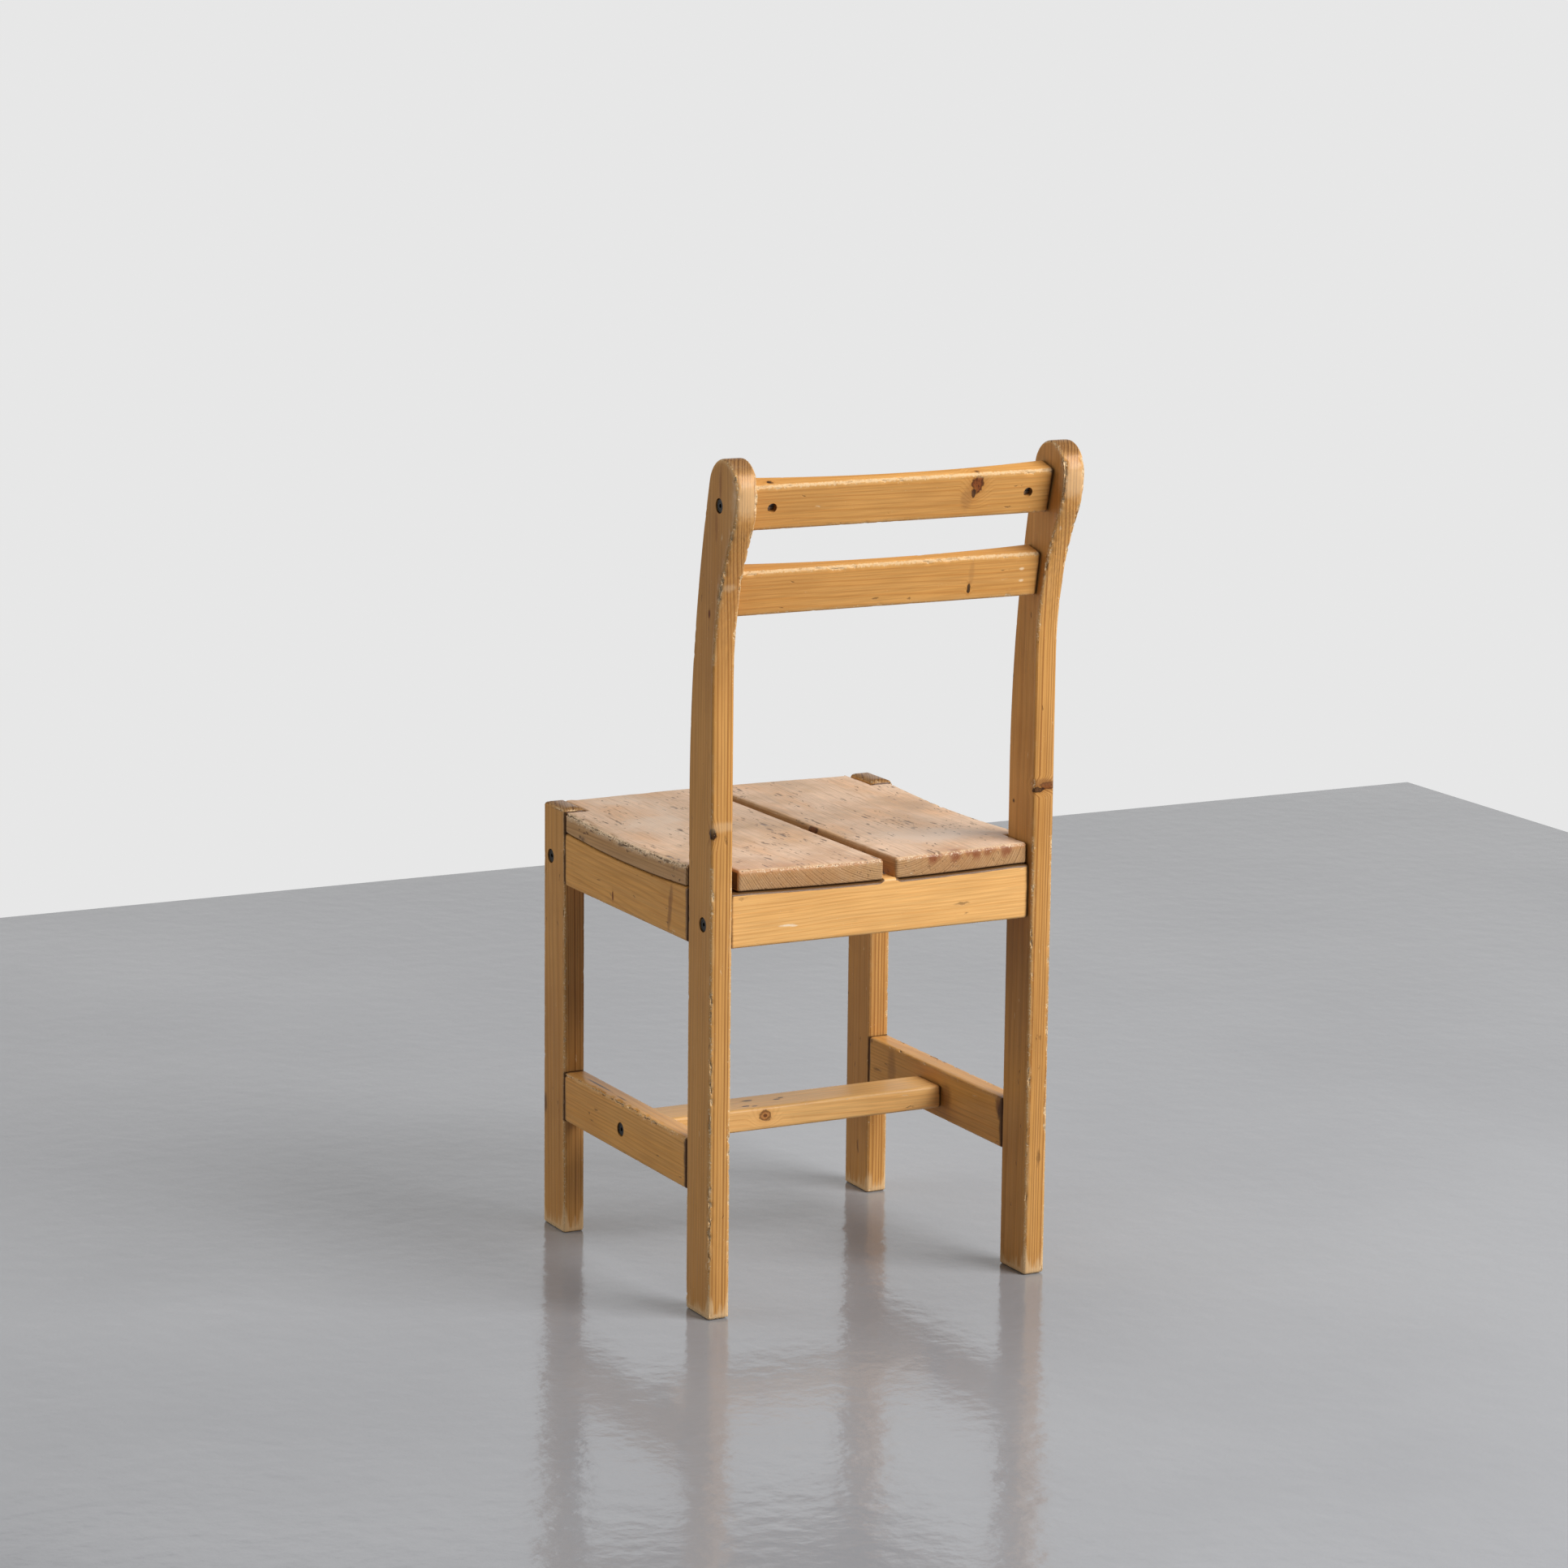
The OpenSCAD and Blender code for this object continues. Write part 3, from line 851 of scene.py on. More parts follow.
class Knocks(Effect):
    """Dark dents and pale nicks on a surface whose grain runs along Z."""

    label = "knocks"
    inputs = {"Vector": (0.0, 0.0, 0.0), "Dents": 0.1, "Scratches": 0.1}
    outputs = ("Dent", "Scratch")

    def wire(self, net: Net, given: dict[str, Signal]) -> list[Signal]:
        """Build two sizes of dents, which lie in clusters, and one set of nicks.

        Args:
            net: The group's node net.
            given: Its inputs.

        Returns:
            Its outputs, in order.
        """
        at = given["Vector"]
        bent = net.vector("ADD", at, at.noise(120.0, 3.0, "Color").scaled(7 * MM))
        crowd = at.spread((30.0, 30.0, 12.0)).noise(1.0, 2.0)
        share = crowd.step(0.4, 0.68, 2.4) * given["Dents"]
        large = self.hits(bent.spread((150.0, 150.0, 34.0)), "Red", share, (0.408, 0.12))
        small = self.hits(bent.spread((330.0, 330.0, 70.0)), "Red", share, (0.425, 0.125))
        nicks = self.hits(bent.spread((150.0, 150.0, 36.0)), "Green", given["Scratches"], (0.2, 0.06))
        return [large.or_more(small), nicks]

    def hits(self, at: Signal, channel: str, share: Signal, edge: tuple[float, float]) -> Signal:
        """Mark a share of the cells of a pattern.

        Args:
            at: The place, in cells.
            channel: The part of a cell's random colour that picks it.
            share: Share of the cells that are marked.
            edge: Distances from a cell's middle where its mark begins and is full.

        Returns:
            How strongly a place is marked, from 0 to 1.
        """
        net = at.net
        cells = net.outputs(net.add("ShaderNodeTexVoronoi", {"Vector": at, "Scale": 1.0}))
        chance = net.take("ShaderNodeSeparateColor", channel, {0: cells["Color"]})
        return net.maths("LESS_THAN", chance, share) * cells["Distance"].step(*edge)


GROWTH_RINGS = GrowthRings()
KNOT_MARK = KnotMark()
ARRIS_WEAR = ArrisWear()
KNOCKS = Knocks()


# -------------------------------------------------------------------------------- finishes


@dataclass(frozen=True)
class Mark:
    """A knot, a dark streak, a stain, a painted highlight or a patch of painted light.

    Attributes:
        stretch: Rates along X, Y and Z: below 1 makes it longer that way.
        pull: How far the grain is turned round it; 0 for a stain, a painted highlight and a patch of painted
            light.
        strength: How strongly it shows, from 0 to 1.
    """

    place: Place
    radius: float
    stretch: Place = (1.0, 1.0, 1.0)
    tone: Tone = (0.13, 0.035, 0.012)
    pull: float = 1.0
    strength: float = 0.9

    def stain(self, wood: Signal, knot: dict[str, Signal], late: Tone) -> Signal:
        """Lay the mark over the wood's colour: a soft patch that is a stain or painted light, or a knot with
        its dark rim.

        Args:
            wood: The wood's colour so far.
            knot: What the knot effect gives for this mark.

        Returns:
            The wood's colour with the mark on it.
        """
        blend = wood.net.blend
        if self.pull == 0.0:
            return blend(knot["Halo"] * self.strength, wood, self.tone)
        dark = tuple(0.25 * part for part in self.tone)
        rim = min(1.0, self.pull) * 0.85 * self.strength
        wood = blend(knot["Halo"] * (0.45 * self.strength), wood, late)
        wood = blend(knot["Core"] * self.strength, wood, self.tone)
        return blend(knot["Rim"] * rim, wood, dark)


def new_material(name: str) -> tuple[bpy.types.Material, Net]:
    """Start an empty material.

    Args:
        name: Its name.

    Returns:
        The material, and the net of its shader tree.
    """
    material = bpy.data.materials.new(name)
    material.use_nodes = True
    material.node_tree.nodes.clear()
    return material, Net(material.node_tree)


@dataclass(frozen=True)
class Surface:
    """What the shared effects say of a timber's surface, place by place.

    Attributes:
        at: The place.
        normal: The parts along X, Y and Z of the direction that the surface looks in.
        end: How far it is end grain, from 0 to 1.
        near: How near it is to a worn arris, from 0 to 1.
        rings: What the growth rings give.
        wear: What the worn arrises give.
        knocks: What the dents and scratches give.
        knots: What each of its marks gives.
    """

    at: Signal
    normal: list[Signal]
    end: Signal
    near: Signal
    rings: dict[str, Signal]
    wear: dict[str, Signal]
    knocks: dict[str, Signal]
    knots: list[dict[str, Signal]]


@dataclass(frozen=True)
class PineFinish:
    """Old honey varnish over pine, rubbed and chipped along the arrises.

    Attributes:
        early: Colour of the pale wood of each ring, under its varnish.
        grime_and_shade: Colour of the soiling in dents, and of the soiling and painted shade in corners and
            joints.
        top: Colour of upward faces that are worn matt, or None where they aren't.
        end_share: How strongly the end grain has darkened.
        ring_depth: How strongly the rings show.
        wander: How far the rings wander from a true circle.
        rubbing: How far the varnish is rubbed thin, 1 being the usual amount.
        specks: How strongly soiling shows in the chips, from 0 to 1.
        dents: Share of the surface's dents that show.
        dent_strength: How dark the dents are.
        gloss: Roughness of sound varnish.
        varnish: Weight of the varnish coat.
        scuffing: Height above the floor up to which the feet are scuffed.
        cheeks: How strongly the rings show on the faces that look along X, from 0 to 1; below 1 it also
            darkens those faces with painted shade.
    """

    early: Tone = (0.57, 0.27, 0.068)
    late: Tone = (0.35, 0.13, 0.022)
    end: Tone = (0.13, 0.06, 0.022)
    rubbed: Tone = (0.7, 0.42, 0.18)
    bare: Tone = (0.82, 0.6, 0.35)
    grime_and_shade: Tone = (0.07, 0.028, 0.01)
    top: Tone | None = None
    end_share: float = 0.8
    ring_spacing: float = 3.6 * MM
    ring_depth: float = 0.85
    wander: float = 9 * MM
    rubbing: float = 1.0
    specks: float = 0.5
    dents: float = 0.018
    scratches: float = 0.05
    dent_strength: float = 0.5
    gloss: float = 0.36
    varnish: float = 0.14
    scuffing: float = 0.0
    cheeks: float = 1.0

    def dress(self, piece: Workpiece, grain: Axis, pith: Place, slope: Place = (0.0, 0.0, 0.0),
              marks: Sequence[Mark] = ()) -> None:
        """Give a piece this finish.

        Args:
            piece: The piece, which carries the "near", "chip" and "dirt" values of its points.
            grain: Direction of its grain.
            pith: A point on the log's pith.
            slope: Angles in degrees by which the grain leans from that direction.
            marks: Its knots and stains.
        """
        material, net = new_material(f"pine_{piece.body.name}")
        surface = self.survey(net, grain, pith, slope, marks)
        matt = self.matt_share(surface)
        net.surface({
            "Base Color": self.colour(surface, marks),
            "Roughness": matt * 0.3 + (surface.rings["Fibre"] * 0.07 + self.gloss),
            "Specular IOR Level": 0.18,
            "Coat Weight": matt * -self.varnish + self.varnish,
            "Coat Roughness": 0.18,
            "Normal": net.bump(self.relief(surface), 0.7, 0.5 * MM),
        })
        piece.mesh.materials.clear()
        piece.mesh.materials.append(material)

    def survey(self, net: Net, grain: Axis, pith: Place, slope: Place,
               marks: Sequence[Mark]) -> Surface:
        """Put the shared effects into a material.

        Args:
            net: The material's node net.
            grain: Direction of the grain.
            pith: A point on the log's pith.
            slope: Angles in degrees by which the grain leans from that direction.
            marks: The knots and stains.

        Returns:
            What the effects say of the surface.
        """
        at = net.place()
        turns = {Axis.X: (0.0, 90.0, 0.0), Axis.Y: (-90.0, 0.0, 0.0), Axis.Z: (0.0, 0.0, 0.0)}
        turn = [math.radians(base + lean) for base, lean in zip(turns[grain], slope)]
        mapping = {"Vector": at, "Location": pith, "Rotation": turn}
        in_log = net.take("ShaderNodeMapping", "Vector", mapping, vector_type="TEXTURE")
        knots = [
            KNOT_MARK.place(
                net, Vector=at, Place=mark.place, Stretch=mark.stretch, Radius=mark.radius, Pull=mark.pull
            )
            for mark in marks
        ]
        swell: Link = 0.0
        for knot in knots:
            swell = knot["Swell"] + swell
        # The third value marks soiling and painted shade in corners, joints and under the boards.
        names = ("near", "chip", "dirt")
        near, chip, dirt = (net.take("ShaderNodeAttribute", "Fac", attribute_name=name) for name in names)
        normal = net.take("ShaderNodeNewGeometry", "Normal").parts()
        return Surface(
            at=at,
            normal=normal,
            end=abs(normal[grain.value]).step(0.4, 0.8),
            near=near,
            rings=GROWTH_RINGS.place(
                net, Vector=in_log, Spacing=self.ring_spacing, Wander=self.wander, Swell=swell
            ),
            wear=ARRIS_WEAR.place(
                net, Vector=at, Near=near, Chip=chip, Shelter=dirt, Rubbing=self.rubbing,
                Specks=self.specks,
            ),
            knocks=KNOCKS.place(net, Vector=in_log, Dents=self.dents, Scratches=self.scratches),
            knots=knots,
        )

    def colour(self, surface: Surface, marks: Sequence[Mark]) -> Signal:
        """Lay the marks, the wear, the scratches, the scuffs, and the soiling and painted shade over the
        sound wood.

        Args:
            surface: The surveyed surface.
            marks: The knots and stains.

        Returns:
            The finish's colour.
        """
        wear, knocks, blend = surface.wear, surface.knocks, surface.at.net.blend
        wood = self.sound_wood(surface)
        for mark, knot in zip(marks, surface.knots):
            wood = mark.stain(wood, knot, self.late)
        if self.top is not None:
            wood = blend(self.worn_top(surface), wood, self.top_wood(surface))
        side_grain = 1.0 - surface.end * 0.75
        wood = blend(wear["Rubbed"] * (side_grain * 0.55), wood, self.rubbed)
        wood = blend(wear["Bare"] * 0.8, wood, self.bare)
        wood = blend(knocks["Scratch"] * 0.5, wood, self.bare)
        if self.scuffing > 0.0:
            wood = blend(self.scuffed_feet(surface) * 0.5, wood, self.bare)
        dents = knocks["Dent"] * (side_grain * self.dent_strength)
        # Dents are darkened as soiling; corners and joints are darkened with soiling and painted shade.
        return blend(dents.or_more(wear["Dirt"] * 0.9), wood, self.grime_and_shade)

    def matt_share(self, surface: Surface) -> Signal:
        """Find where the varnish has lost its gloss.

        Args:
            surface: The surveyed surface.

        Returns:
            How matt a place is, from 0 to 1.
        """
        matt = surface.wear["Bare"].or_more(surface.wear["Rubbed"] * 0.5)
        if self.top is not None:
            matt = matt.or_more(self.worn_top(surface) * 0.6)
        if self.scuffing > 0.0:
            matt = matt.or_more(self.scuffed_feet(surface))
        return matt

    def relief(self, surface: Surface) -> Signal:
        """Raise the dark wood and the fibres, and sink the dents, the scratches and the chips.

        Args:
            surface: The surveyed surface.

        Returns:
            The height of the relief.
        """
        rings, knocks = surface.rings, surface.knocks
        raised = rings["Fibre"] * 0.1 + rings["Latewood"] * 0.16
        return knocks["Scratch"] * -0.35 + (knocks["Dent"] * -1.2 + raised) - surface.wear["Bare"] * 0.6

    def sound_wood(self, surface: Surface) -> Signal:
        """Colour sound wood: rings, fibres, slow patches, darkened end grain, and painted shade on the faces
        that look along X.

        Args:
            surface: The surveyed surface.

        Returns:
            The colour of sound wood.
        """
        rings, end, blend = surface.rings, surface.end, surface.at.net.blend
        cheek = abs(surface.normal[Axis.X.value]).step(0.6, 0.95, 1.0 - self.cheeks)
        depth = (end * 0.15 + self.ring_depth) * (1.0 - cheek)
        # Faces that look along X are drawn towards the latewood colour: painted shade on the legs' side
        # faces.
        early = blend(end * self.end_share, blend(cheek * 0.22, self.early, self.late), self.end)
        wood = blend(surface.at.noise(9.0, 3.0).step(0.35, 0.75, 0.3), early, self.late)
        wood = blend(rings["Streak"] * 0.14, wood, self.rubbed)
        wood = blend(rings["Latewood"] * depth, wood, blend(end * 0.8, self.late, self.grime_and_shade))
        return blend(1.0, wood, rings["Fibre"] * 0.18 + 0.86, "MULTIPLY")

    def top_wood(self, surface: Surface) -> Signal:
        """Colour an upward face that is worn through its varnish: mottled, with dark pores.

        Args:
            surface: The surveyed surface.

        Returns:
            The colour of the worn face.
        """
        rings, blend = surface.rings, surface.at.net.blend
        darker = tuple(0.62 * part for part in self.top)
        warmer = tuple(part * rate for part, rate in zip(self.top, (0.94, 0.83, 0.7)))
        slow = surface.at.spread((24.0, 12.0, 24.0)).noise(1.0, 5.0)
        quick = surface.at.spread((170.0, 70.0, 170.0)).noise(1.0, 4.0)
        wood = blend(slow.step(0.42, 0.66), self.top, warmer)
        wood = blend(quick.step(0.5, 0.75, 0.4), wood, darker)
        wood = blend(rings["Latewood"] * 0.2 + rings["Streak"] * 0.18, wood, darker)
        wood = blend(rings["Pore"] * 0.4, wood, self.late)
        return blend(1.0, wood, rings["Fibre"] * 0.2 + 0.88, "MULTIPLY")

    def worn_top(self, surface: Surface) -> Signal:
        """Mask of the upward faces whose varnish is worn through, in soft patches."""
        level = surface.normal[Axis.Z.value].step(0.6, 0.97)
        return level * surface.at.noise(16.0, 5.0).step(0.25, 0.6)

    def scuffed_feet(self, surface: Surface) -> Signal:
        """Find the scuffed wood near the floor, which reaches higher up the arrises.

        Args:
            surface: The surveyed surface.

        Returns:
            How scuffed a place is, from 0 to 1.
        """
        streaks = surface.at.spread((330.0, 330.0, 40.0)).noise(1.0, 4.0)
        uneven = streaks * (4.0 * self.scuffing) + surface.at.parts()[Axis.Z.value]
        limit = surface.near * (2.0 * self.scuffing) + 2.6 * self.scuffing
        return ((uneven - limit) / self.scuffing).step(0.8, -0.6)


@dataclass(frozen=True)
class SteelFinish:
    """Plain or blackened steel, with the edges rubbed and some rust.

    Attributes:
        rusting: Share of the surface that has rusted.
        metallic: How far the surface is bare metal.
    """

    skin: Tone
    rust: Tone
    rusting: float
    roughness: float
    metallic: float

    def material(self, name: str) -> bpy.types.Material:
        """Build the finish.

        Args:
            name: The material's name.

        Returns:
            The material.
        """
        material, net = new_material(name)
        at = net.place()
        coarse = at.noise(420.0, 4.0)
        fine = at.noise(2600.0, 2.0)
        spread = 0.5 * self.rusting
        rusty = coarse.step(0.8 - spread, 0.95 - spread)
        lighter = tuple(1.8 * part for part in self.skin)
        skin = net.blend(fine.step(0.3, 0.8, 0.3), self.skin, lighter)
        net.surface({
            "Base Color": net.blend(rusty, skin, self.rust),
            "Roughness": fine * 0.12 + (rusty * 0.35 + self.roughness),
            "Metallic": rusty * -self.metallic + self.metallic,
            "Normal": net.bump(coarse, 0.3, 0.2 * MM),
        })
        return material


BLACKENED = SteelFinish((0.035, 0.033, 0.031), (0.16, 0.1, 0.06), 0.2, 0.3, 0.5)
ZINC = SteelFinish((0.32, 0.3, 0.27), (0.16, 0.08, 0.04), 0.5, 0.38, 0.9)

HONEY = PineFinish()
# The legs' low cheek setting darkens their side faces with painted shade and mutes the rings there.
LEG_HONEY = replace(
    HONEY, early=(0.66, 0.325, 0.088), late=(0.27, 0.09, 0.014), end=(0.17, 0.085, 0.033),
    ring_spacing=3.2 * MM, ring_depth=0.8, wander=5 * MM, scratches=0.1, scuffing=11 * MM, cheeks=0.35,
)
SIDE_HONEY = replace(
    HONEY, early=(0.73, 0.36, 0.092), late=(0.5, 0.2, 0.038), ring_depth=0.5, wander=20 * MM, specks=0.8
)
RAIL_HONEY = replace(
    HONEY, early=(0.88, 0.485, 0.165), late=(0.66, 0.29, 0.075), rubbed=(0.86, 0.54, 0.23), ring_depth=0.5,
    wander=20 * MM,
)
# A lighter copy of the rail finish: painted light on the cross stretcher, which lies in shade under the seat.
STRETCHER_HONEY_PAINTED_LIGHT = replace(RAIL_HONEY, early=(0.96, 0.55, 0.2), late=(0.72, 0.33, 0.09))
# Its stronger rubbing makes a pale cream line along the top rear arrises: partly worn wood, partly a painted
# highlight.
BACK_HONEY = replace(
    HONEY, early=(0.67, 0.325, 0.085), late=(0.47, 0.18, 0.033), rubbed=(0.69, 0.41, 0.165),
    bare=(0.74, 0.52, 0.29), ring_depth=0.6, wander=14 * MM, rubbing=1.3, specks=0.15, gloss=0.5,
    varnish=0.08,
)
SEAT_WORN = replace(
    HONEY, early=(0.54, 0.3, 0.12), late=(0.3, 0.13, 0.045), end=(0.55, 0.34, 0.17),
    rubbed=(0.68, 0.47, 0.29), bare=(0.78, 0.59, 0.39), top=(0.76, 0.52, 0.35), end_share=0.5,
    ring_spacing=2.2 * MM, ring_depth=0.6, wander=3 * MM, rubbing=1.3, specks=0.9, dents=0.17,
    scratches=0.06, dent_strength=0.75, gloss=0.3, varnish=0.25,
)


# ------------------------------------------------------------------------------ the timbers


@dataclass
class Stock:
    """What all the chair's timber shares.

    Attributes:
        arris: Radius of the rounded arrises.
        step: Spacing of the lines across the grain that hold the wear.
        margins: Distances from an arris of the lines that the wear fades over.
        rim: How near its end or its top a timber is held clear of knocks.
        dip_start: Height in a rail where the dip in its top begins to be felt.
        dip_end: Depth below its top from which it is felt in full.
    """

    arris: float = 3 * MM
    step: float = 2.2 * MM
    margins: tuple[float, ...] = (5 * MM, 8 * MM, 12 * MM)
    leg_depth: float = 51.5 * MM
    rim: float = 2 * MM
    dip_start: float = 20 * MM
    dip_end: float = 15 * MM

    def stick(self, name: str, low: Vector, high: Vector, grain: Axis) -> Workpiece:
        """Plane a stick between two corners, with rounded arrises and lines across its grain.

        Args:
            name: Its name.
            low: Its lowest corner.
            high: Its highest corner.
            grain: Direction of its grain.

        Returns:
            The stick.
        """
        piece = Workpiece.block(name, low, high)
        piece.round_arrises(self.arris)
        piece.line_margins(low, high, self.margins)
        piece.divide(grain, self.step)
        return piece

    def dip_share(self, low: Vector, high: Vector, height: float) -> float:
        """How far a rail's height is pulled down with the dip in its top, from 0 to 1."""
        return ease((height - low.z - self.dip_start) / (high.z - low.z - self.dip_start - self.dip_end))


def end_dirt_and_shade(low: Vector, high: Vector, axis: Axis, reach: float = 5 * MM) -> Measure:
    """Soiling and painted shade beside both ends of a piece.

    Args:
        low: The piece's lowest corner.
        high: The piece's highest corner.
        axis: Direction that the piece runs in.
        reach: How far the soiling and painted shade reach from an end.

    Returns:
        How dark a place is made, from 0 to 1.
    """

    def shelter(spot: Vector) -> float:
        """How dark a place is made with soiling and painted shade."""
        place = spot[axis.value]
        return max(0.0, 1.0 - min(place - low[axis.value], high[axis.value] - place) / reach)

    return shelter


@dataclass
class BoltPlaces:
    """Where the connector bolts run, worked out from the CAD nodes' boxes.

    Attributes:
        rail_share: Height of a seat rail's bolts, as a share of the rail's height.
        nut_setback: Distance of a barrel nut from the end of its rail.
        recess: Radius of the recess for a bolt's head.
        head_seat: Depth of that recess.
        clearance: Radius of the clearance hole behind it.
        reach: Depth of the clearance hole, which goes right through.
        places: Each bolt's line, as a point with x = 0.
    """

    rail_share: float = 0.45
    nut_setback: float = 27 * MM
    recess: float = 7.5 * MM
    head_seat: float = 4.5 * MM
    clearance: float = 3.25 * MM
    reach: float = 30 * MM
    places: dict[str, Vector] = field(default_factory=dict)

    def __post_init__(self) -> None:
        """Work out the four lines."""
        shares = {
            "front_rail": self.rail_share, "rear_rail": self.rail_share, "cross_stretcher": 0.5,
            "crest_rail": 0.5,
        }
        for node, share in shares.items():
            low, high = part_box(node)
            self.places[node] = Vector((0.0, (low.y + high.y) / 2, low.z + (high.z - low.z) * share))

    def recesses(self, nodes: Iterable[str], side: Side, outer_x: float) -> list[Bore]:
        """The recesses and clearance holes for some of the bolts, on one side of the chair.

        Args:
            nodes: The cross pieces that the bolts hold.
            side: The side.
            outer_x: Place of the left frame's outer face.

        Returns:
            The holes.
        """
        holes = []
        for node in nodes:
            mouth = Vector((outer_x * side.value, self.places[node].y, self.places[node].z))
            for radius, depth in ((self.recess, self.head_seat), (self.clearance, self.reach)):
                holes.append(Bore(mouth, Axis.X, -side.value, radius, depth))
        return holes


@dataclass
class SideFrame:
    """Two legs, a seat rail and a stretcher, glued up as one side of the chair.

    Attributes:
        curve_rise: Height above the seat where the rear leg's front curve begins.
        front_radius: Radius of that curve.
        head_radius: Radius of the rear leg's rounded head.
        blend_radius: Radius of the flatter curve behind the head.
        flare_radius: Radius of the hollow below it.
        rail_dip: Depth of the dip along the side rail's top.
        top_wear: How much the edges of a front leg's top are worn down.
        top_fade: Distance from its sides over which that fades.
        cheek_area: Area above which a face is one of a leg's cheeks.
        cheek_insets: Widths of the bands round a cheek that its wear fades over.
        leg_log: How far inside a leg the pith of its log lies.
        dirt_and_shade_fade: Width of the soiling and painted shade on a leg beside a rail.
    """

    stock: Stock
    bolts: BoltPlaces
    curve_rise: float = 72 * MM
    front_radius: float = 1290 * MM
    head_radius: float = 30.6 * MM
    blend_radius: float = 88 * MM
    flare_radius: float = 320 * MM
    rail_dip: float = 4.5 * MM
    top_wear: float = 1.6 * MM
    top_fade: float = 8 * MM
    cheek_area: float = 0.01
    cheek_insets: tuple[float, ...] = (2 * MM, 3 * MM, 4 * MM)
    leg_log: float = 216 * MM
    dirt_and_shade_fade: float = 5 * MM

    def build(self) -> None:
        """Model the left frame's four timbers, copy them for the right, and wear and dress all."""
        blanks = {
            "front_leg": self.front_leg(),
            "rear_leg": self.rear_leg(),
            "side_rail": self.side_rail(),
            "side_stretcher": self.stock.stick("side_stretcher", *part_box("side_stretcher_left"), Axis.Y),
        }
        for stem, blank in blanks.items():
            pieces = {Side.RIGHT: blank.mirrored(f"{stem}_right_timber")}
            blank.body.name = f"{stem}_left_timber"
            pieces[Side.LEFT] = blank
            for side in Side:
                self.finish(stem, side, pieces[side])

    def front_leg(self) -> Workpiece:
        """Plane the left front leg, with its top worn round.

        Returns:
            The leg.
        """
        low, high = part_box("front_leg_left")
        leg = self.stock.stick("front_leg", low, high, Axis.Z)
        shares = []
        for vertex in leg.mesh.vertices:
            place = vertex.co
            edge = min(place.x - low.x, high.x - place.x, place.y - low.y, high.y - place.y)
            on_top = place.z > high.z - self.stock.arris - 0.1 * MM
            shares.append((1.0 - ease(edge / self.top_fade)) * on_top)
        leg.push("Z", -self.top_wear, shares)
        return leg

    def rear_leg(self) -> Workpiece:
        """Draw the left rear leg's side outline, thicken it and round it over.

        Returns:
            The leg.
        """
        low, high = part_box("rear_leg_left")
        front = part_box("side_rail_left")[1].y
        rear = front + self.stock.leg_depth
        start_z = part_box("seat_board_left")[1].z + self.curve_rise
        head_z = high.z - self.head_radius
        inner = self.front_radius - self.head_radius
        head = Vector((low.x, 0.0, head_z))
        head.y = front + self.front_radius - math.sqrt(inner**2 - (head_z - start_z) ** 2)
        curve = Vector((low.x, front + self.front_radius, start_z))
        blend = Vector((low.x, head.y - self.blend_radius + self.head_radius, head_z))
        flare = Vector((low.x, rear + self.flare_radius, 0.0))
        gap = self.flare_radius + self.blend_radius
        flare.z = head_z - math.sqrt(gap**2 - (flare.y - blend.y) ** 2)
        touch = math.atan2(head.z - curve.z, head.y - curve.y)
        turn = math.atan2(flare.z - blend.z, flare.y - blend.y)

        leg = Workpiece.spot("rear_leg", Vector((low.x, rear, 0.0)))
        with shaping(leg.body, "VERT", everything=True):
            leg.line(Vector((0.0, front - rear, 0.0)))
            leg.line(Vector((0.0, 0.0, start_z)))
            leg.arc(curve, touch - math.pi, self.stock.step)
            leg.arc(head, -touch, self.stock.step)
            leg.arc(blend, turn, self.stock.step)
            leg.arc(flare, -turn, self.stock.step)
            leg.line(Vector((0.0, 0.0, -flare.z)))
            leg.fill_and_thicken(Vector((high.x - low.x, 0.0, 0.0)))
        leg.round_arrises(self.stock.arris)
        self.line_cheeks(leg)
        margins = self.stock.margins[:2]
        leg.slice(Axis.X, [low.x + margin for margin in margins] + [high.x - margin for margin in margins])
        count = round(flare.z / self.stock.step)
        leg.slice(Axis.Z, [flare.z * number / count for number in range(2, count)])
        return leg

    def line_cheeks(self, leg: Workpiece) -> None:
        """Inset the two flat cheeks of a leg, so that the wear has lines to fade over.

        Args:
            leg: The leg.
        """
        with shaping(leg.body, "FACE"):
            large = self.cheek_area
            pick(leg.body, "faces", lambda face: abs(face.normal.x) > FLAT and face.calc_area() > large)
            for width in self.cheek_insets:
                bpy.ops.mesh.inset(thickness=width, depth=0.0, use_even_offset=True)

    def side_rail(self) -> Workpiece:
        """Plane the left side rail, with the long dip along its top.

        Returns:
            The rail.
        """
        low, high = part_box("side_rail_left")
        middle, half = (low.y + high.y) / 2, (high.y - low.y) / 2
        rail = self.stock.stick("side_rail", low, high, Axis.Y)
        shares = []
        for vertex in rail.mesh.vertices:
            fall = self.rail_dip - bow_of(half, self.rail_dip, vertex.co.y - middle)
            shares.append(fall / self.rail_dip * self.stock.dip_share(low, high, vertex.co.z))
        rail.push("Z", -self.rail_dip, shares)
        return rail

    def exposure(self, stem: str, side: Side) -> Measure:
        """Rate how open to knocks the arrises of one timber are.

        Args:
            stem: The timber's stem.
            side: Its side.

        Returns:
            How open a place is, from 0 to 2.
        """
        low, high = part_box(side.node(stem))
        outer_x = high.x if side is Side.LEFT else low.x
        rail_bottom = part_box("side_rail_left")[0].z
        back_low, back_high = 0.66, 0.85
        seat_level = 0.46

        def outside(spot: Vector) -> bool:
            """Whether a place is on the frame's outer face."""
            return abs(spot.x - outer_x) < MM

        def at_end(spot: Vector) -> bool:
            """Whether a place is where a rail or stretcher meets a leg."""
            return min(spot.y - low.y, high.y - spot.y) < self.stock.rim

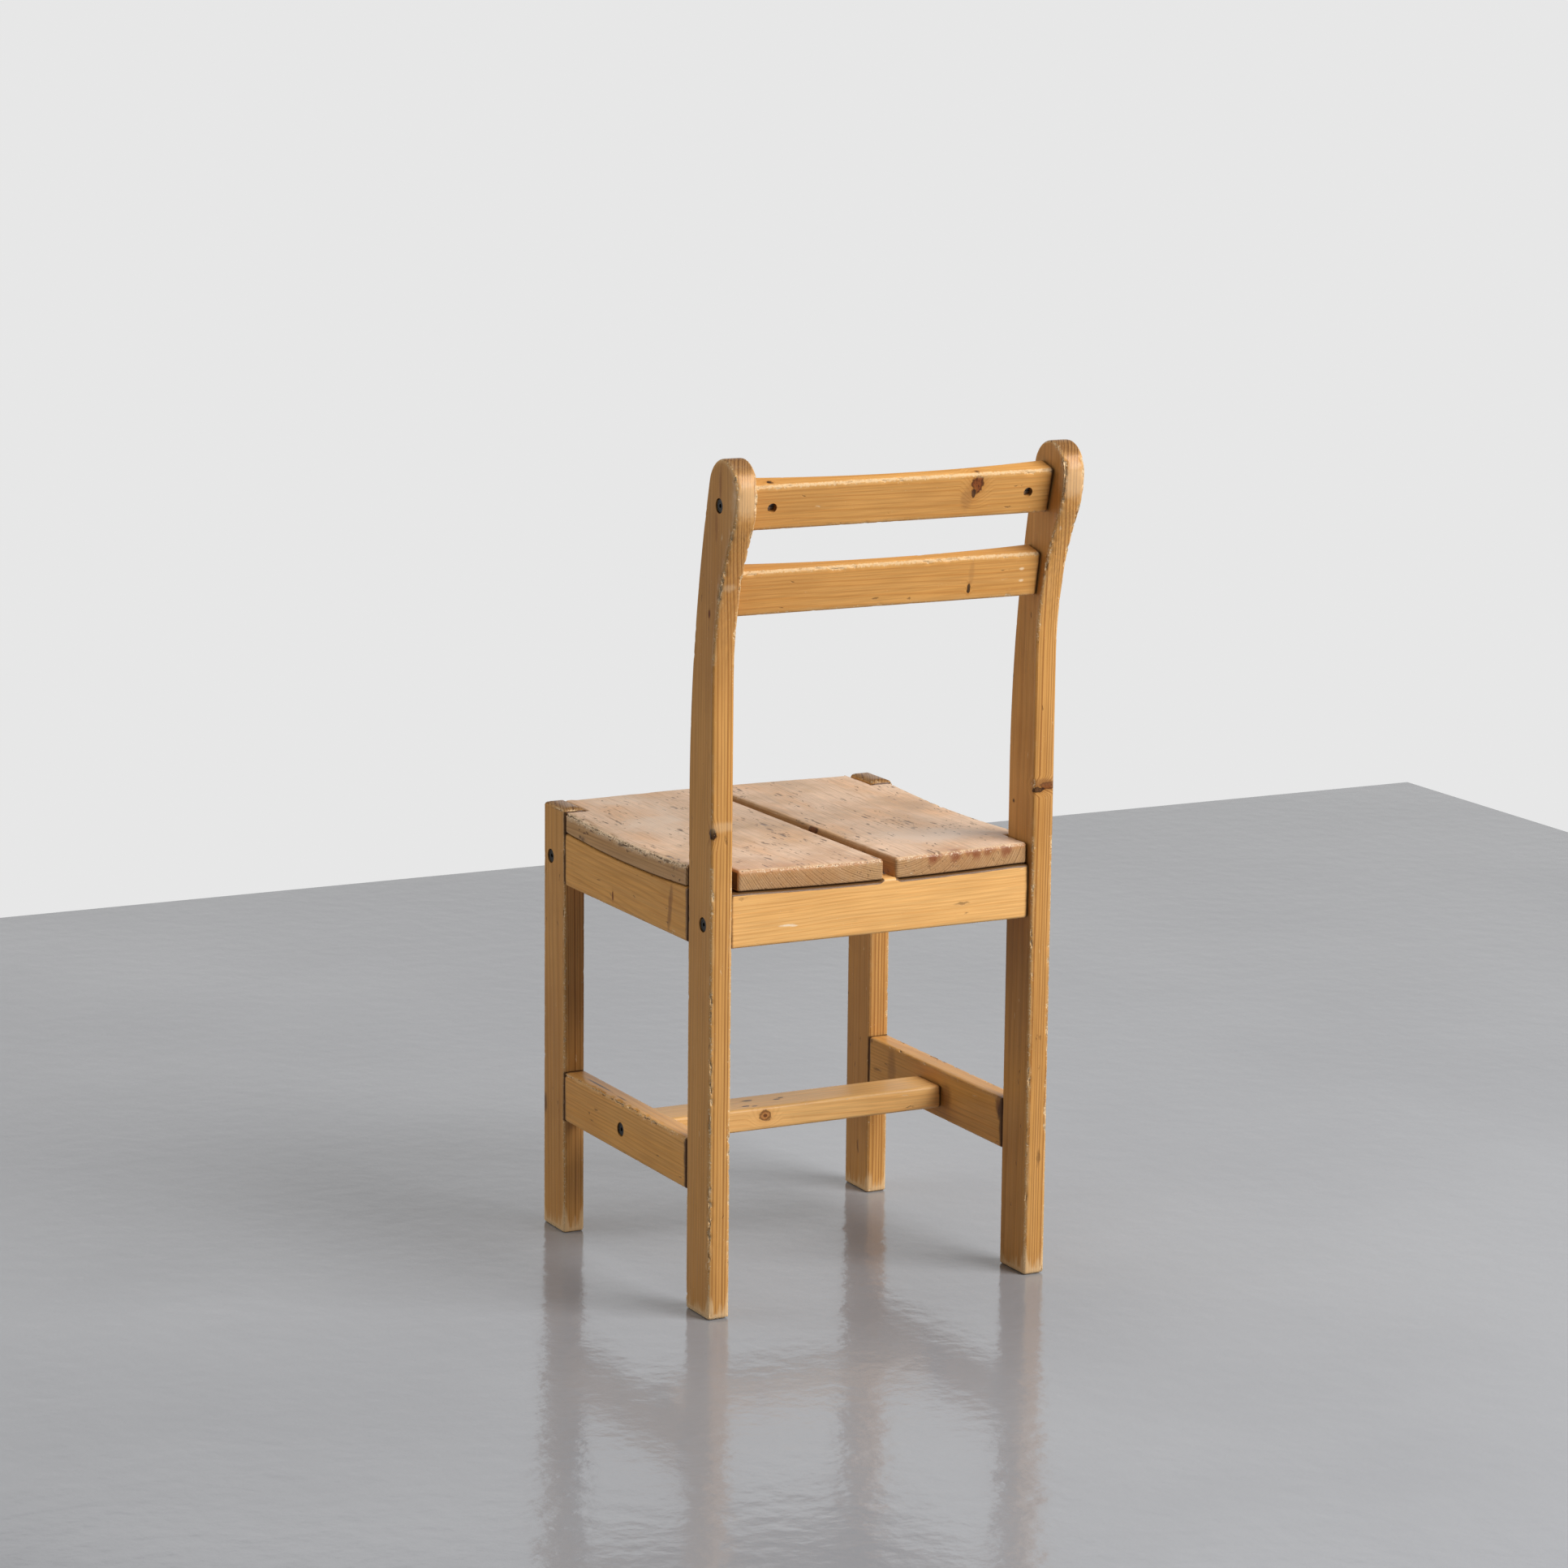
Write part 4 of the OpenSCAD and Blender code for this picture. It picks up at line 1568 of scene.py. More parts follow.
        def front_leg(spot: Vector) -> float:
            """A front leg is knocked most at its top."""
            return 1.5 if spot.z > high.z - 2 * self.stock.rim else 1.0 if outside(spot) else 0.7

        def rear_leg(spot: Vector) -> float:
            """Rate a place on a rear leg, which is knocked most behind its head and near its foot.

            Args:
                spot: The place.

            Returns:
                How open to knocks it is.
            """
            if seat_level < spot.z < back_low:
                return 0.5
            behind = back_low < spot.z < back_high and spot.y > 0.19
            rubbed = 2.0 if behind else 1.5 if spot.z < rail_bottom - 15 * MM else 1.0
            return rubbed if outside(spot) or spot.y > 0.17 else 0.6

        def side_rail(spot: Vector) -> float:
            """A side rail is sheltered at its ends and under the seat."""
            return 0.35 if at_end(spot) or spot.z > low.z + 30 * MM else 0.8

        def side_stretcher(spot: Vector) -> float:
            """A side stretcher is knocked most along its outer top arris."""
            return 0.4 if at_end(spot) else 1.7 if outside(spot) and spot.z > high.z - MM else 0.8

        return {
            "front_leg": front_leg,
            "rear_leg": rear_leg,
            "side_rail": side_rail,
            "side_stretcher": side_stretcher,
        }[stem]

    def shelter(self, stem: str, side: Side) -> Measure:
        """Find where a timber is darkened with soiling and painted shade: at its ends, and on a leg beside a
        rail.

        Args:
            stem: The timber's stem.
            side: Its side.

        Returns:
            How dark a place is made, from 0 to 1.
        """
        low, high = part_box(side.node(stem))
        if not stem.endswith("leg"):
            return end_dirt_and_shade(low, high, Axis.Y, 7 * MM)
        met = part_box(side.node("side_rail"))
        heights = [(met[0].z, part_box(side.node("seat_board"))[1].z)]
        heights.append(tuple(corner.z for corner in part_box(side.node("side_stretcher"))))
        face = met[0].y if stem == "front_leg" else met[1].y

        def leg(spot: Vector) -> float:
            """How dark a leg is made with soiling and painted shade, beside the rail, the board or the
            stretcher that meets it.
            """
            beside = any(bottom < spot.z < top for bottom, top in heights)
            return max(0.0, 0.9 - abs(spot.y - face) / self.dirt_and_shade_fade) if beside else 0.0

        return leg

    def finish(self, stem: str, side: Side, piece: Workpiece) -> None:
        """Bore, wear and dress one timber, and fix it to the frame.

        Args:
            stem: The timber's stem.
            side: Its side.
            piece: The timber.
        """
        low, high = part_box(side.node(stem))
        middle = (low + high) / 2
        outer_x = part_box("front_leg_left")[1].x
        grain = Axis.Z if stem.endswith("leg") else Axis.Y
        seed = {"front_leg": 1.4, "rear_leg": 2.0, "side_rail": 3.0, "side_stretcher": 4.0}[stem]
        wear = Wear(seed=seed * side.value)
        if stem == "side_stretcher":
            wear = replace(wear, chipping=1.6 * MM, chip_length=11 * MM)
        bolts = {
            "front_leg": ["front_rail"],
            "rear_leg": ["rear_rail", "crest_rail"],
            "side_rail": [],
            "side_stretcher": ["cross_stretcher"],
        }[stem]
        piece.bore(self.bolts.recesses(bolts, side, outer_x))
        piece.weather(wear, grain, self.exposure(stem, side), self.shelter(stem, side))
        piece.smooth()
        self.dress(stem, side, piece, middle)
        piece.hand_in(side.node(stem), Slot.VARNISHED)

    def dress(self, stem: str, side: Side, piece: Workpiece, middle: Vector) -> None:
        """Give one timber its finish, its grain and its marks.

        Args:
            stem: The timber's stem.
            side: Its side.
            piece: The timber.
            middle: Middle of its node's box.
        """
        sign = side.value
        if stem == "front_leg":
            finish = LEG_HONEY
            pith = (middle.x - self.leg_log * sign, middle.y + 90 * MM * sign, 0.0)
            grain, slope = Axis.Z, (0.3, 0.3 * sign, 0.0)
            marks = LEFT_FRONT_LEG_MARKS if side is Side.LEFT else ()
        elif stem == "rear_leg":
            finish = LEG_HONEY
            pith = (middle.x - self.leg_log * sign, 0.2 + 0.11 * sign, 0.0)
            grain, slope = Axis.Z, (-0.6, 0.25 * sign, 0.0)
            marks = LEFT_REAR_LEG_MARKS if side is Side.LEFT else RIGHT_REAR_LEG_MARKS
        elif stem == "side_rail":
            finish = SIDE_HONEY
            pith = (middle.x - 70 * MM * sign, 0.0, middle.z - 60 * MM)
            grain, slope = Axis.Y, (0.5, 0.0, 1.2)
            marks = LEFT_SIDE_RAIL_MARKS if side is Side.LEFT else ()
        else:
            finish = SIDE_HONEY
            pith = (middle.x - 40 * MM * sign, 0.0, middle.z - 75 * MM)
            grain, slope = Axis.Y, (0.8, 0.0, 0.7)
            marks = LEFT_STRETCHER_MARKS if side is Side.LEFT else RIGHT_STRETCHER_MARKS
        finish.dress(piece, grain, pith, slope, marks)


DARK = (0.05, 0.02, 0.01)
RUSSET = (0.17, 0.04, 0.01)
UMBER = (0.24, 0.1, 0.035)
# Pale wood for worn spots, and for the painted highlight on the rear legs' heads.
PALE_WEAR_AND_HIGHLIGHT = (0.84, 0.62, 0.38)

LEFT_FRONT_LEG_MARKS = (Mark((0.193, -0.209, 0.131), 3 * MM, (1.0, 1.0, 0.5), DARK, 0.0, 0.6),)
LEFT_REAR_LEG_MARKS = (
    # A painted highlight on the rear face of the head.
    Mark((0.181, 0.226, 0.826), 8 * MM, (0.7, 1.0, 0.8), PALE_WEAR_AND_HIGHLIGHT, 0.0, 0.34),
    Mark((0.184, 0.190, 0.739), 2.8 * MM, (0.5, 1.0, 1.0), PALE_WEAR_AND_HIGHLIGHT, 0.0, 0.45),
    Mark((0.192, 0.178, 0.493), 4 * MM, (1.0, 1.0, 0.7), DARK, 1.0),
    Mark((0.180, 0.1785, 0.500), 3 * MM, (0.3, 1.0, 1.0), PALE_WEAR_AND_HIGHLIGHT, 0.0, 0.25),
    Mark((0.193, 0.170, 0.710), 2 * MM, (1.0, 1.0, 0.6), RUSSET, 0.5),
    Mark((0.193, 0.192, 0.838), 1.5 * MM, (1.0, 1.0, 0.14), RUSSET, 0.0, 0.45),
    Mark((0.193, 0.184, 0.798), 1.5 * MM, (1.0, 1.0, 0.16), RUSSET, 0.0, 0.35),
)
RIGHT_REAR_LEG_MARKS = (
    # A painted highlight on the rear face of the head.
    Mark((-0.181, 0.226, 0.826), 8 * MM, (0.7, 1.0, 0.8), PALE_WEAR_AND_HIGHLIGHT, 0.0, 0.34),
    Mark((-0.187, 0.180, 0.5115), 3.4 * MM, (0.3, 0.5, 1.0), RUSSET, 2.0, 0.8),
    Mark((-0.173, 0.180, 0.5080), 2.6 * MM, (0.35, 0.5, 1.0), DARK, 2.0, 0.8),
    Mark((-0.178, 0.180, 0.5150), 2.5 * MM, (0.2, 0.5, 1.0), UMBER, 0.0, 0.5),
    Mark((-0.169, 0.139, 0.490), 1.6 * MM, tone=DARK, pull=0.3),
    Mark((-0.169, 0.132, 0.618), 1.6 * MM, tone=DARK, pull=0.3),
    Mark((-0.169, 0.125, 0.602), 2.2 * MM, tone=DARK, pull=0.3),
)
LEFT_SIDE_RAIL_MARKS = (
    Mark((0.193, -0.045, 0.387), 1.6 * MM, (1.0, 1.0, 0.35), RUSSET, 0.3, 0.85),
    Mark((0.193, 0.0905, 0.416), 2.0 * MM, (1.0, 1.0, 0.3), UMBER, 0.0, 0.5),
    Mark((0.193, 0.0875, 0.402), 2.2 * MM, (1.0, 1.0, 0.25), UMBER, 0.0, 0.6),
    Mark((0.193, 0.0845, 0.388), 1.8 * MM, (1.0, 1.0, 0.3), UMBER, 0.0, 0.5),
)
LEFT_STRETCHER_MARKS = (
    Mark((0.182, -0.100, 0.175), 0.8 * MM, (1.0, 0.05, 1.0), DARK, 0.0, 0.95),
    Mark((0.184, -0.040, 0.175), 0.7 * MM, (1.0, 0.1, 1.0), DARK, 0.0, 0.7),
)
RIGHT_STRETCHER_MARKS = (
    Mark((-0.169, 0.121, 0.168), 4 * MM, (1.0, 1.0, 0.5), UMBER, 0.0, 0.9),
    Mark((-0.169, 0.122, 0.160), 2 * MM, (1.0, 1.0, 0.4), DARK, 0.0, 0.7),
    Mark((-0.169, 0.010, 0.150), 6 * MM, (1.0, 1.0, 0.8), UMBER, 0.0, 0.55),
    Mark((-0.169, -0.110, 0.150), 5 * MM, (1.0, 1.0, 0.35), UMBER, 0.0, 0.4),
)


@dataclass
class CrossPieces:
    """The two seat rails and the low stretcher that join the side frames.

    Attributes:
        hollow: Depth of the hollow along a rail's top.
        landing: Flat length at each end of a rail's top.
        screw_spread: Distance of each seat screw from the middle of its board.
        counterbore: Radius of the hole for a screw's head.
        nut_reach: Depth of a barrel nut's hole.
        ridge: Half the width of the ridge left standing under the gap.
        ridge_fade: Distance over which the hollow begins beside it.
    """

    stock: Stock
    bolts: BoltPlaces
    hollow: float = 2.5 * MM
    landing: float = 19 * MM
    board_gap: float = 13 * MM
    screw_spread: float = 32 * MM
    counterbore: float = 4.5 * MM
    screw_head: float = 2.4 * MM
    nut_hole: float = 5 * MM
    nut_reach: float = 19 * MM
    ridge: float = 7 * MM
    ridge_fade: float = 5 * MM

    def build(self) -> None:
        """Model, wear and dress the three cross pieces."""
        self.rail("front_rail", 1)
        self.rail("rear_rail", -1)
        self.stretcher()

    def screw_places(self) -> list[float]:
        """Work out where the seat screws stand across the chair.

        Returns:
            Their places along X.
        """
        inner_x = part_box("front_rail")[1].x
        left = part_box("seat_board_left")[0].x
        middles = ((left + inner_x) / 2, (left - self.board_gap - inner_x) / 2)
        return [middle + step for middle in middles for step in (-self.screw_spread, self.screw_spread)]

    def nut_bores(self, node: str, axis: Axis, inward: int, face: float, depth: float) -> list[Bore]:
        """The two barrel nut holes of a cross piece.

        Args:
            node: The cross piece's CAD node.
            axis: Direction of the holes.
            inward: 1 if they go in along +axis, or -1.
            face: Place of the face that they leave by, along that axis.
            depth: Their depth.

        Returns:
            The two holes.
        """
        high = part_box(node)[1]
        holes = []
        for side in Side:
            mouth = self.bolts.places[node].copy()
            mouth.x = (high.x - self.bolts.nut_setback) * side.value
            mouth[axis.value] = face
            holes.append(Bore(mouth, axis, inward, self.nut_hole, depth))
        return holes

    def rail(self, node: str, opening: int) -> None:
        """Build a seat rail.

        Args:
            node: Its CAD node.
            opening: 1 if its barrel nut holes open towards +Y, or -1.
        """
        low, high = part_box(node)
        piece = self.stock.stick(f"{node}_timber", low, high, Axis.X)
        half = high.x - self.landing
        shares = []
        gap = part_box("seat_board_left")[0].x - self.board_gap / 2
        for vertex in piece.mesh.vertices:
            fall = self.hollow - bow_of(half, self.hollow, vertex.co.x)
            height = self.stock.dip_share(low, high, vertex.co.z)
            boarded = ease((abs(vertex.co.x - gap) - self.ridge) / self.ridge_fade)
            shares.append(max(0.0, fall / self.hollow) * height * boarded)

        ends = end_dirt_and_shade(low, high, Axis.X)

        def exposure(spot: Vector) -> float:
            """The upper half is sheltered by the seat, and the ends by the legs."""
            at_end = abs(spot.x) > high.x - self.stock.rim
            return 0.4 if at_end else 0.1 if spot.z > low.z + 30 * MM else 0.7

        def shelter(spot: Vector) -> float:
            """The top under the boards gets a dark line of painted shadow, and the ends get soiling and
            painted shade.
            """
            # Painted shadow: a dark line along the top where the boards lie over it.
            covered = spot.z > high.z - self.hollow and abs(spot.x - gap) > self.board_gap / 2
            return 0.85 if covered else ends(spot)

        piece.weather(Wear(seed=5.0 + opening), Axis.X, exposure, shelter)
        piece.push("Z", -self.hollow, shares)
        face = high.y if opening == 1 else low.y
        piece.bore(self.nut_bores(node, Axis.Y, -opening, face, self.nut_reach))
        middle_y = (low.y + high.y) / 2
        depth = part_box("seat_screws")[0].z + self.screw_head - low.z
        for x in self.screw_places():
            piece.bore([Bore(Vector((x, middle_y, low.z)), Axis.Z, 1, self.counterbore, depth)])
        piece.smooth()
        pith = (0.0, middle_y - 55 * MM, low.z - 70 * MM)
        RAIL_HONEY.dress(piece, Axis.X, pith, (0.0, 1.2, 0.7), REAR_RAIL_MARKS if opening < 0 else ())
        piece.hand_in(node, Slot.VARNISHED)

    def stretcher(self) -> None:
        """Build the low cross stretcher."""
        node = "cross_stretcher"
        low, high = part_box(node)
        piece = self.stock.stick(f"{node}_timber", low, high, Axis.X)

        def exposure(spot: Vector) -> float:
            """The ends are sheltered by the side stretchers."""
            return 0.4 if abs(spot.x) > high.x - self.stock.rim else 0.7

        piece.weather(Wear(seed=8.0), Axis.X, exposure, end_dirt_and_shade(low, high, Axis.X))
        piece.bore(self.nut_bores(node, Axis.Z, 1, low.z, self.nut_reach))
        piece.smooth()
        pith = (0.0, (low.y + high.y) / 2 - 50 * MM, low.z - 45 * MM)
        STRETCHER_HONEY_PAINTED_LIGHT.dress(piece, Axis.X, pith, (0.0, -1.0, 0.8), CROSS_STRETCHER_MARKS)
        piece.hand_in(node, Slot.VARNISHED)


REAR_RAIL_MARKS = (
    Mark((0.106, 0.1725, 0.3936), 0.6 * MM, (0.13, 1.0, 1.0), (0.95, 0.8, 0.6), 0.0, 0.75),
    Mark((0.098, 0.1725, 0.3925), 0.5 * MM, (0.2, 1.0, 1.0), (0.95, 0.8, 0.6), 0.0, 0.6),
)
CROSS_STRETCHER_MARKS = (
    Mark((0.039, 0.0, 0.150), 5.0 * MM, (0.8, 0.4, 0.9), (0.36, 0.13, 0.035), 2.2, 0.75),
    Mark((0.039, 0.0, 0.150), 1.6 * MM, (0.7, 0.4, 0.9), (0.12, 0.03, 0.01), 0.3, 0.8),
    Mark((0.045, -0.031, 0.159), 1.9 * MM, (0.3, 1.0, 1.0), DARK, 0.5, 0.95),
    Mark((0.056, -0.012, 0.159), 1.7 * MM, (0.4, 1.0, 1.0), DARK, 0.5, 0.95),
    Mark((0.047, -0.009, 0.159), 1.5 * MM, (0.45, 1.0, 1.0), DARK, 0.5, 0.9),
    Mark((0.014, -0.024, 0.159), 1.6 * MM, (0.4, 1.0, 1.0), DARK, 0.5, 0.85),
    Mark((0.007, -0.028, 0.159), 1.5 * MM, (0.45, 1.0, 1.0), DARK, 0.5, 0.8),
)


@dataclass
class BackRails:
    """The crest rail and the slat, each leaning back and hollowed in front.

    Attributes:
        cross: The cross pieces, for their way of boring for barrel nuts.
        hollow: Depth of the hollow in the front face.
        hollow_margin: Flat length left at each end of the hollow.
        crest_size: The crest rail's thickness and height.
        slat_size: The slat's thickness and height.
        skin: Thickness behind the hollow that stays straight.
        nut_reach: Depth of a barrel nut's hole behind the crest rail's middle.
    """

    stock: Stock
    cross: CrossPieces
    hollow: float = 11 * MM
    hollow_margin: float = 3 * MM
    crest_size: tuple[float, float] = (25.5 * MM, 47 * MM)
    slat_size: tuple[float, float] = (27 * MM, 46 * MM)
    crest_tilt: float = math.radians(15.5)
    slat_tilt: float = math.radians(11.0)
    skin: float = 4 * MM
    nut_reach: float = 7 * MM

    def build(self) -> None:
        """Model, wear and dress both rails."""
        self.rail("crest_rail", self.crest_size, self.crest_tilt, 11.0, CREST_MARKS, True)
        self.rail("back_slat", self.slat_size, self.slat_tilt, 12.0, SLAT_MARKS, False)

    def rail(self, node: str, size: tuple[float, float], tilt: float, seed: float,
             marks: Sequence[Mark], bolted: bool) -> None:
        """Build one rail of the back.

        Args:
            node: Its CAD node.
            size: Its thickness and height.
            tilt: Its lean from upright.
            seed: Number that places its chips.
            marks: Its knots and stains.
            bolted: Whether it has barrel nut holes in its rear face.
        """
        box_low, box_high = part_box(node)
        middle = (box_low + box_high) / 2
        reach = Vector((box_high.x, size[0] / 2, size[1] / 2))
        low, high = middle - reach, middle + reach
        piece = self.stock.stick(f"{node}_timber", low, high, Axis.X)
        half = high.x - self.hollow_margin
        shares = []
        for vertex in piece.mesh.vertices:
            fall = max(0.0, self.hollow - bow_of(half, self.hollow, vertex.co.x))
            depth = (high.y - vertex.co.y - self.skin) / (size[0] - self.skin)
            shares.append(fall / self.hollow * min(1.0, max(0.0, depth)))

        def exposure(spot: Vector) -> float:
            """The top rear arris is knocked most, and the ends are sheltered by the legs."""
            at_end = abs(spot.x) > high.x - self.stock.rim
            return 0.5 if at_end else 1.5 if spot.z > middle.z and spot.y > middle.y else 0.8

        piece.weather(Wear(seed=seed), Axis.X, exposure, end_dirt_and_shade(low, high, Axis.X))
        piece.push("Y", self.hollow, shares)
        if bolted:
            piece.bore(self.cross.nut_bores(node, Axis.Y, -1, high.y, size[0] / 2 + self.nut_reach))
        piece.lean(tilt, middle)
        piece.smooth()
        pith = (0.0, middle.y - 60 * MM, middle.z - 50 * MM)
        BACK_HONEY.dress(piece, Axis.X, pith, (0.0, 1.0, 1.0), marks)
        piece.hand_in(node, Slot.VARNISHED)


CREST_MARKS = (
    Mark((-0.083, 0.203, 0.827), 6 * MM, (1.0, 0.6, 0.6), (0.2, 0.045, 0.01), 1.8, 0.9),
    Mark((-0.080, 0.201, 0.817), 2 * MM, (1.0, 0.6, 0.4), DARK, 1.0, 0.9),
    Mark((-0.073, 0.201, 0.812), 3 * MM, (0.8, 0.6, 0.4), UMBER, 0.0, 0.35),
    Mark((0.144, 0.198, 0.838), 2.6 * MM, (0.7, 0.6, 1.0), DARK, 1.0),
)
SLAT_MARKS = (
    Mark((-0.0895, 0.1785, 0.7185), 1.6 * MM, (1.0, 0.6, 0.35), (0.05, 0.025, 0.01), 1.5, 0.95),
    Mark((-0.091, 0.181, 0.735), 1.8 * MM, (1.0, 0.6, 0.22), (0.4, 0.19, 0.06), 0.0, 0.4),
    Mark((-0.148, 0.1815, 0.735), 0.8 * MM, (0.5, 0.7, 1.0), PALE_WEAR_AND_HIGHLIGHT, 0.0, 0.9),
    Mark((-0.149, 0.1795, 0.723), 0.8 * MM, (0.5, 0.7, 1.0), PALE_WEAR_AND_HIGHLIGHT, 0.0, 0.9),
)


@dataclass
class Seat:
    """Two dished boards, notched round the legs and worn matt.

    Attributes:
        dip: Depth of the dip along the boards.
        cross: The cross pieces, whose hollow tops the boards lie in.
        skew: How far the gap's front end lies further to the left than its rear end.
        skew_fade: Distance from the gap over which a board is drawn out to follow it.
        bow: How much less the front edge reaches at the legs than at the middle.
        cut_gap: Wider gap where the left board was cut short of the rear leg.
        strip_gap: Gap between the left board's outer strip and the rear leg behind it.
        grid: Spacing of the lines over a board.
        margins: Distances from an arris of the lines that the wear fades over.
        wear: How hard the boards have been used.
        bow_fade: Distance over which the drawn-back front edge fades.
    """

    stock: Stock
    cross: CrossPieces
    dip: float = 4.5 * MM
    skew: float = 13 * MM
    skew_fade: float = 70 * MM
    bow: float = 8 * MM
    notch_gap: float = 1.5 * MM
    cut_gap: float = 9.5 * MM
    strip_gap: float = 4 * MM
    grid: float = 4 * MM
    arris: float = 3.4 * MM
    margins: tuple[float, ...] = (4.5 * MM, 6 * MM, 9 * MM, 13 * MM)
    wear: Wear = Wear(12 * MM, 0.9 * MM, 1.2 * MM, 0.34, 9 * MM, 4 * MM, 20.0)
    bow_fade: float = 60 * MM

    def build(self) -> None:
        """Model, wear and dress both boards."""
        for side in Side:
            self.board(side)

    def board(self, side: Side) -> None:
        """Build one board.

        Args:
            side: Its side.
        """
        node = side.node("seat_board")
        low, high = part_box(node)
        sign = side.value
        if side is Side.RIGHT:
            high.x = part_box("seat_board_left")[0].x - self.cross.board_gap
        inner_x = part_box("front_rail")[1].x
        rail_low, rail_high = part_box("side_rail_left")
        middle_y, half = (rail_low.y + rail_high.y) / 2, (rail_high.y - rail_low.y) / 2
        thickness = high.z - low.z - self.dip
        base = Vector((low.x, low.y, high.z - thickness))
        piece = Workpiece.block(f"{node}_plank", base, high)
        outer = high.x if side is Side.LEFT else low.x
        rear_gap, strip_gap = self.notch_gap, self.notch_gap
        if side is Side.LEFT:
            rear_gap, strip_gap = self.cut_gap, self.strip_gap
        for gap, near_y, far_y in (
            (self.notch_gap, low.y - MM, rail_low.y + self.notch_gap),
            (rear_gap, rail_high.y - strip_gap, high.y + MM),
        ):
            across = sorted(((inner_x - gap) * sign, outer + MM * sign))
            corner = Vector((across[0], near_y, base.z - MM))
            piece.cut(Workpiece.block("notch", corner, Vector((across[1], far_y, high.z + MM))))
        piece.round_arrises(self.arris, 5)
        piece.line_margins(base, high, self.margins)
        piece.slice(Axis.X, [(inner_x - self.notch_gap - margin) * sign for margin in (4.5 * MM, 8 * MM)])
        piece.divide(Axis.Y, self.grid)
        piece.divide(Axis.X, 2 * self.grid)

        def exposure(spot: Vector) -> float:
            """Rate a place on a board, which is knocked most along its outer and front edges.

            Args:
                spot: The place.

            Returns:
                How open to knocks it is.
            """
            in_notch = abs(spot.x) > inner_x - rear_gap - MM and not rail_low.y < spot.y < rail_high.y
            if in_notch or spot.z < high.z - self.stock.rim:
                return 0.4
            if abs(spot.x - outer) < MM or spot.y < low.y + self.bow + MM:
                return 2.0
            return 0.8 if spot.y > high.y - MM else 0.45

        def shelter(spot: Vector) -> float:
            """Find the soiling and painted shade in the notches, and the painted shadow round the underside.

            Args:
                spot: The place.

            Returns:
                How dark it is made.
            """
            beyond = abs(spot.x) > inner_x - rear_gap - 0.1 * MM
            in_notch = beyond and not rail_low.y < spot.y < rail_high.y - strip_gap
            # The notch faces beside the legs are darkened with soiling and painted shade.
            if in_notch and spot.z < high.z - self.stock.rim and abs(spot.x - outer) > MM:
                return 1.0
            # A dark line of painted shadow round the underside.
            return 0.8 if spot.z < base.z + 1.5 * MM else 0.0

        piece.weather(replace(self.wear, seed=self.wear.seed + sign), Axis.Y, exposure, shelter)
        self.bow_front(piece, low.y, inner_x)
        self.dish(piece, middle_y, half)
        self.skew_gap(piece, low.x if side is Side.LEFT else high.x, high.y, high.y - low.y)
        piece.smooth()
        self.dress(side, piece, high.z)
        piece.hand_in(node, Slot.SEAT)

    def bow_front(self, piece: Workpiece, front: float, inner_x: float) -> None:
        """Draw the front edge back towards the legs, along a shallow arc.

        Args:
            piece: The board.
            front: Place of its front edge.
            inner_x: Place of a leg's inner face.
        """
        shares = []
        for vertex in piece.mesh.vertices:
            back = bow_of(inner_x, self.bow, vertex.co.x) / self.bow
            shares.append(back * max(0.0, 1.0 - (vertex.co.y - front) / self.bow_fade))
        piece.push("Y", self.bow, shares)

    def dish(self, piece: Workpiece, middle_y: float, half: float) -> None:
        """Sink a board between its ends, most at its outer edge, and into the rear rail's hollow.

        Args:
            piece: The board.
            middle_y: Middle of the dip.
            half: Half its length.
        """
        hollow = self.cross.hollow
        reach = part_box("rear_rail")[1].x - self.cross.landing
        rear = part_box("seat_board_left")[1].y
        shares = []
        for vertex in piece.mesh.vertices:
            place = vertex.co
            along = max(0.0, self.dip - bow_of(half, self.dip, place.y - middle_y))
            across = max(0.0, hollow - bow_of(reach, hollow, place.x))
            outward = min(1.0, abs(place.x) / reach)
            rearward = ease(1.0 - (rear - place.y) / (2.2 * half))
            shares.append((along * outward**1.5 + across * rearward) / self.dip)
        piece.push("Z", -self.dip, shares)

    def skew_gap(self, piece: Workpiece, edge: float, rear: float, length: float) -> None:
        """Draw a board's edge beside the gap over to the left, more and more towards the front.

        Args:
            piece: The board.
            edge: Place of its edge beside the gap.
            rear: Place of its rear edge.
            length: Its length.
        """
        shares = []
        for vertex in piece.mesh.vertices:
            near = max(0.0, 1.0 - abs(vertex.co.x - edge) / self.skew_fade)
            shares.append(near * (rear - vertex.co.y) / length)
        piece.push("X", self.skew, shares)

    def dress(self, side: Side, piece: Workpiece, top: float) -> None:
        """Give a board its finish, its grain and its marks.

        Args:
            side: Its side.
            piece: The board.
            top: Height of its top.
        """
        if side is Side.LEFT:
            pith, slope, marks = (-0.02, 0.0, top + 100 * MM), (0.4, 0.0, 0.5), LEFT_BOARD_MARKS
        else:
            pith, slope, marks = (-0.02, 0.0, top + 55 * MM), (0.5, 0.0, -0.5), RIGHT_BOARD_MARKS
        SEAT_WORN.dress(piece, Axis.Y, pith, slope, marks)


BRICK = (0.26, 0.08, 0.03)
AMBER = (0.5, 0.22, 0.075)
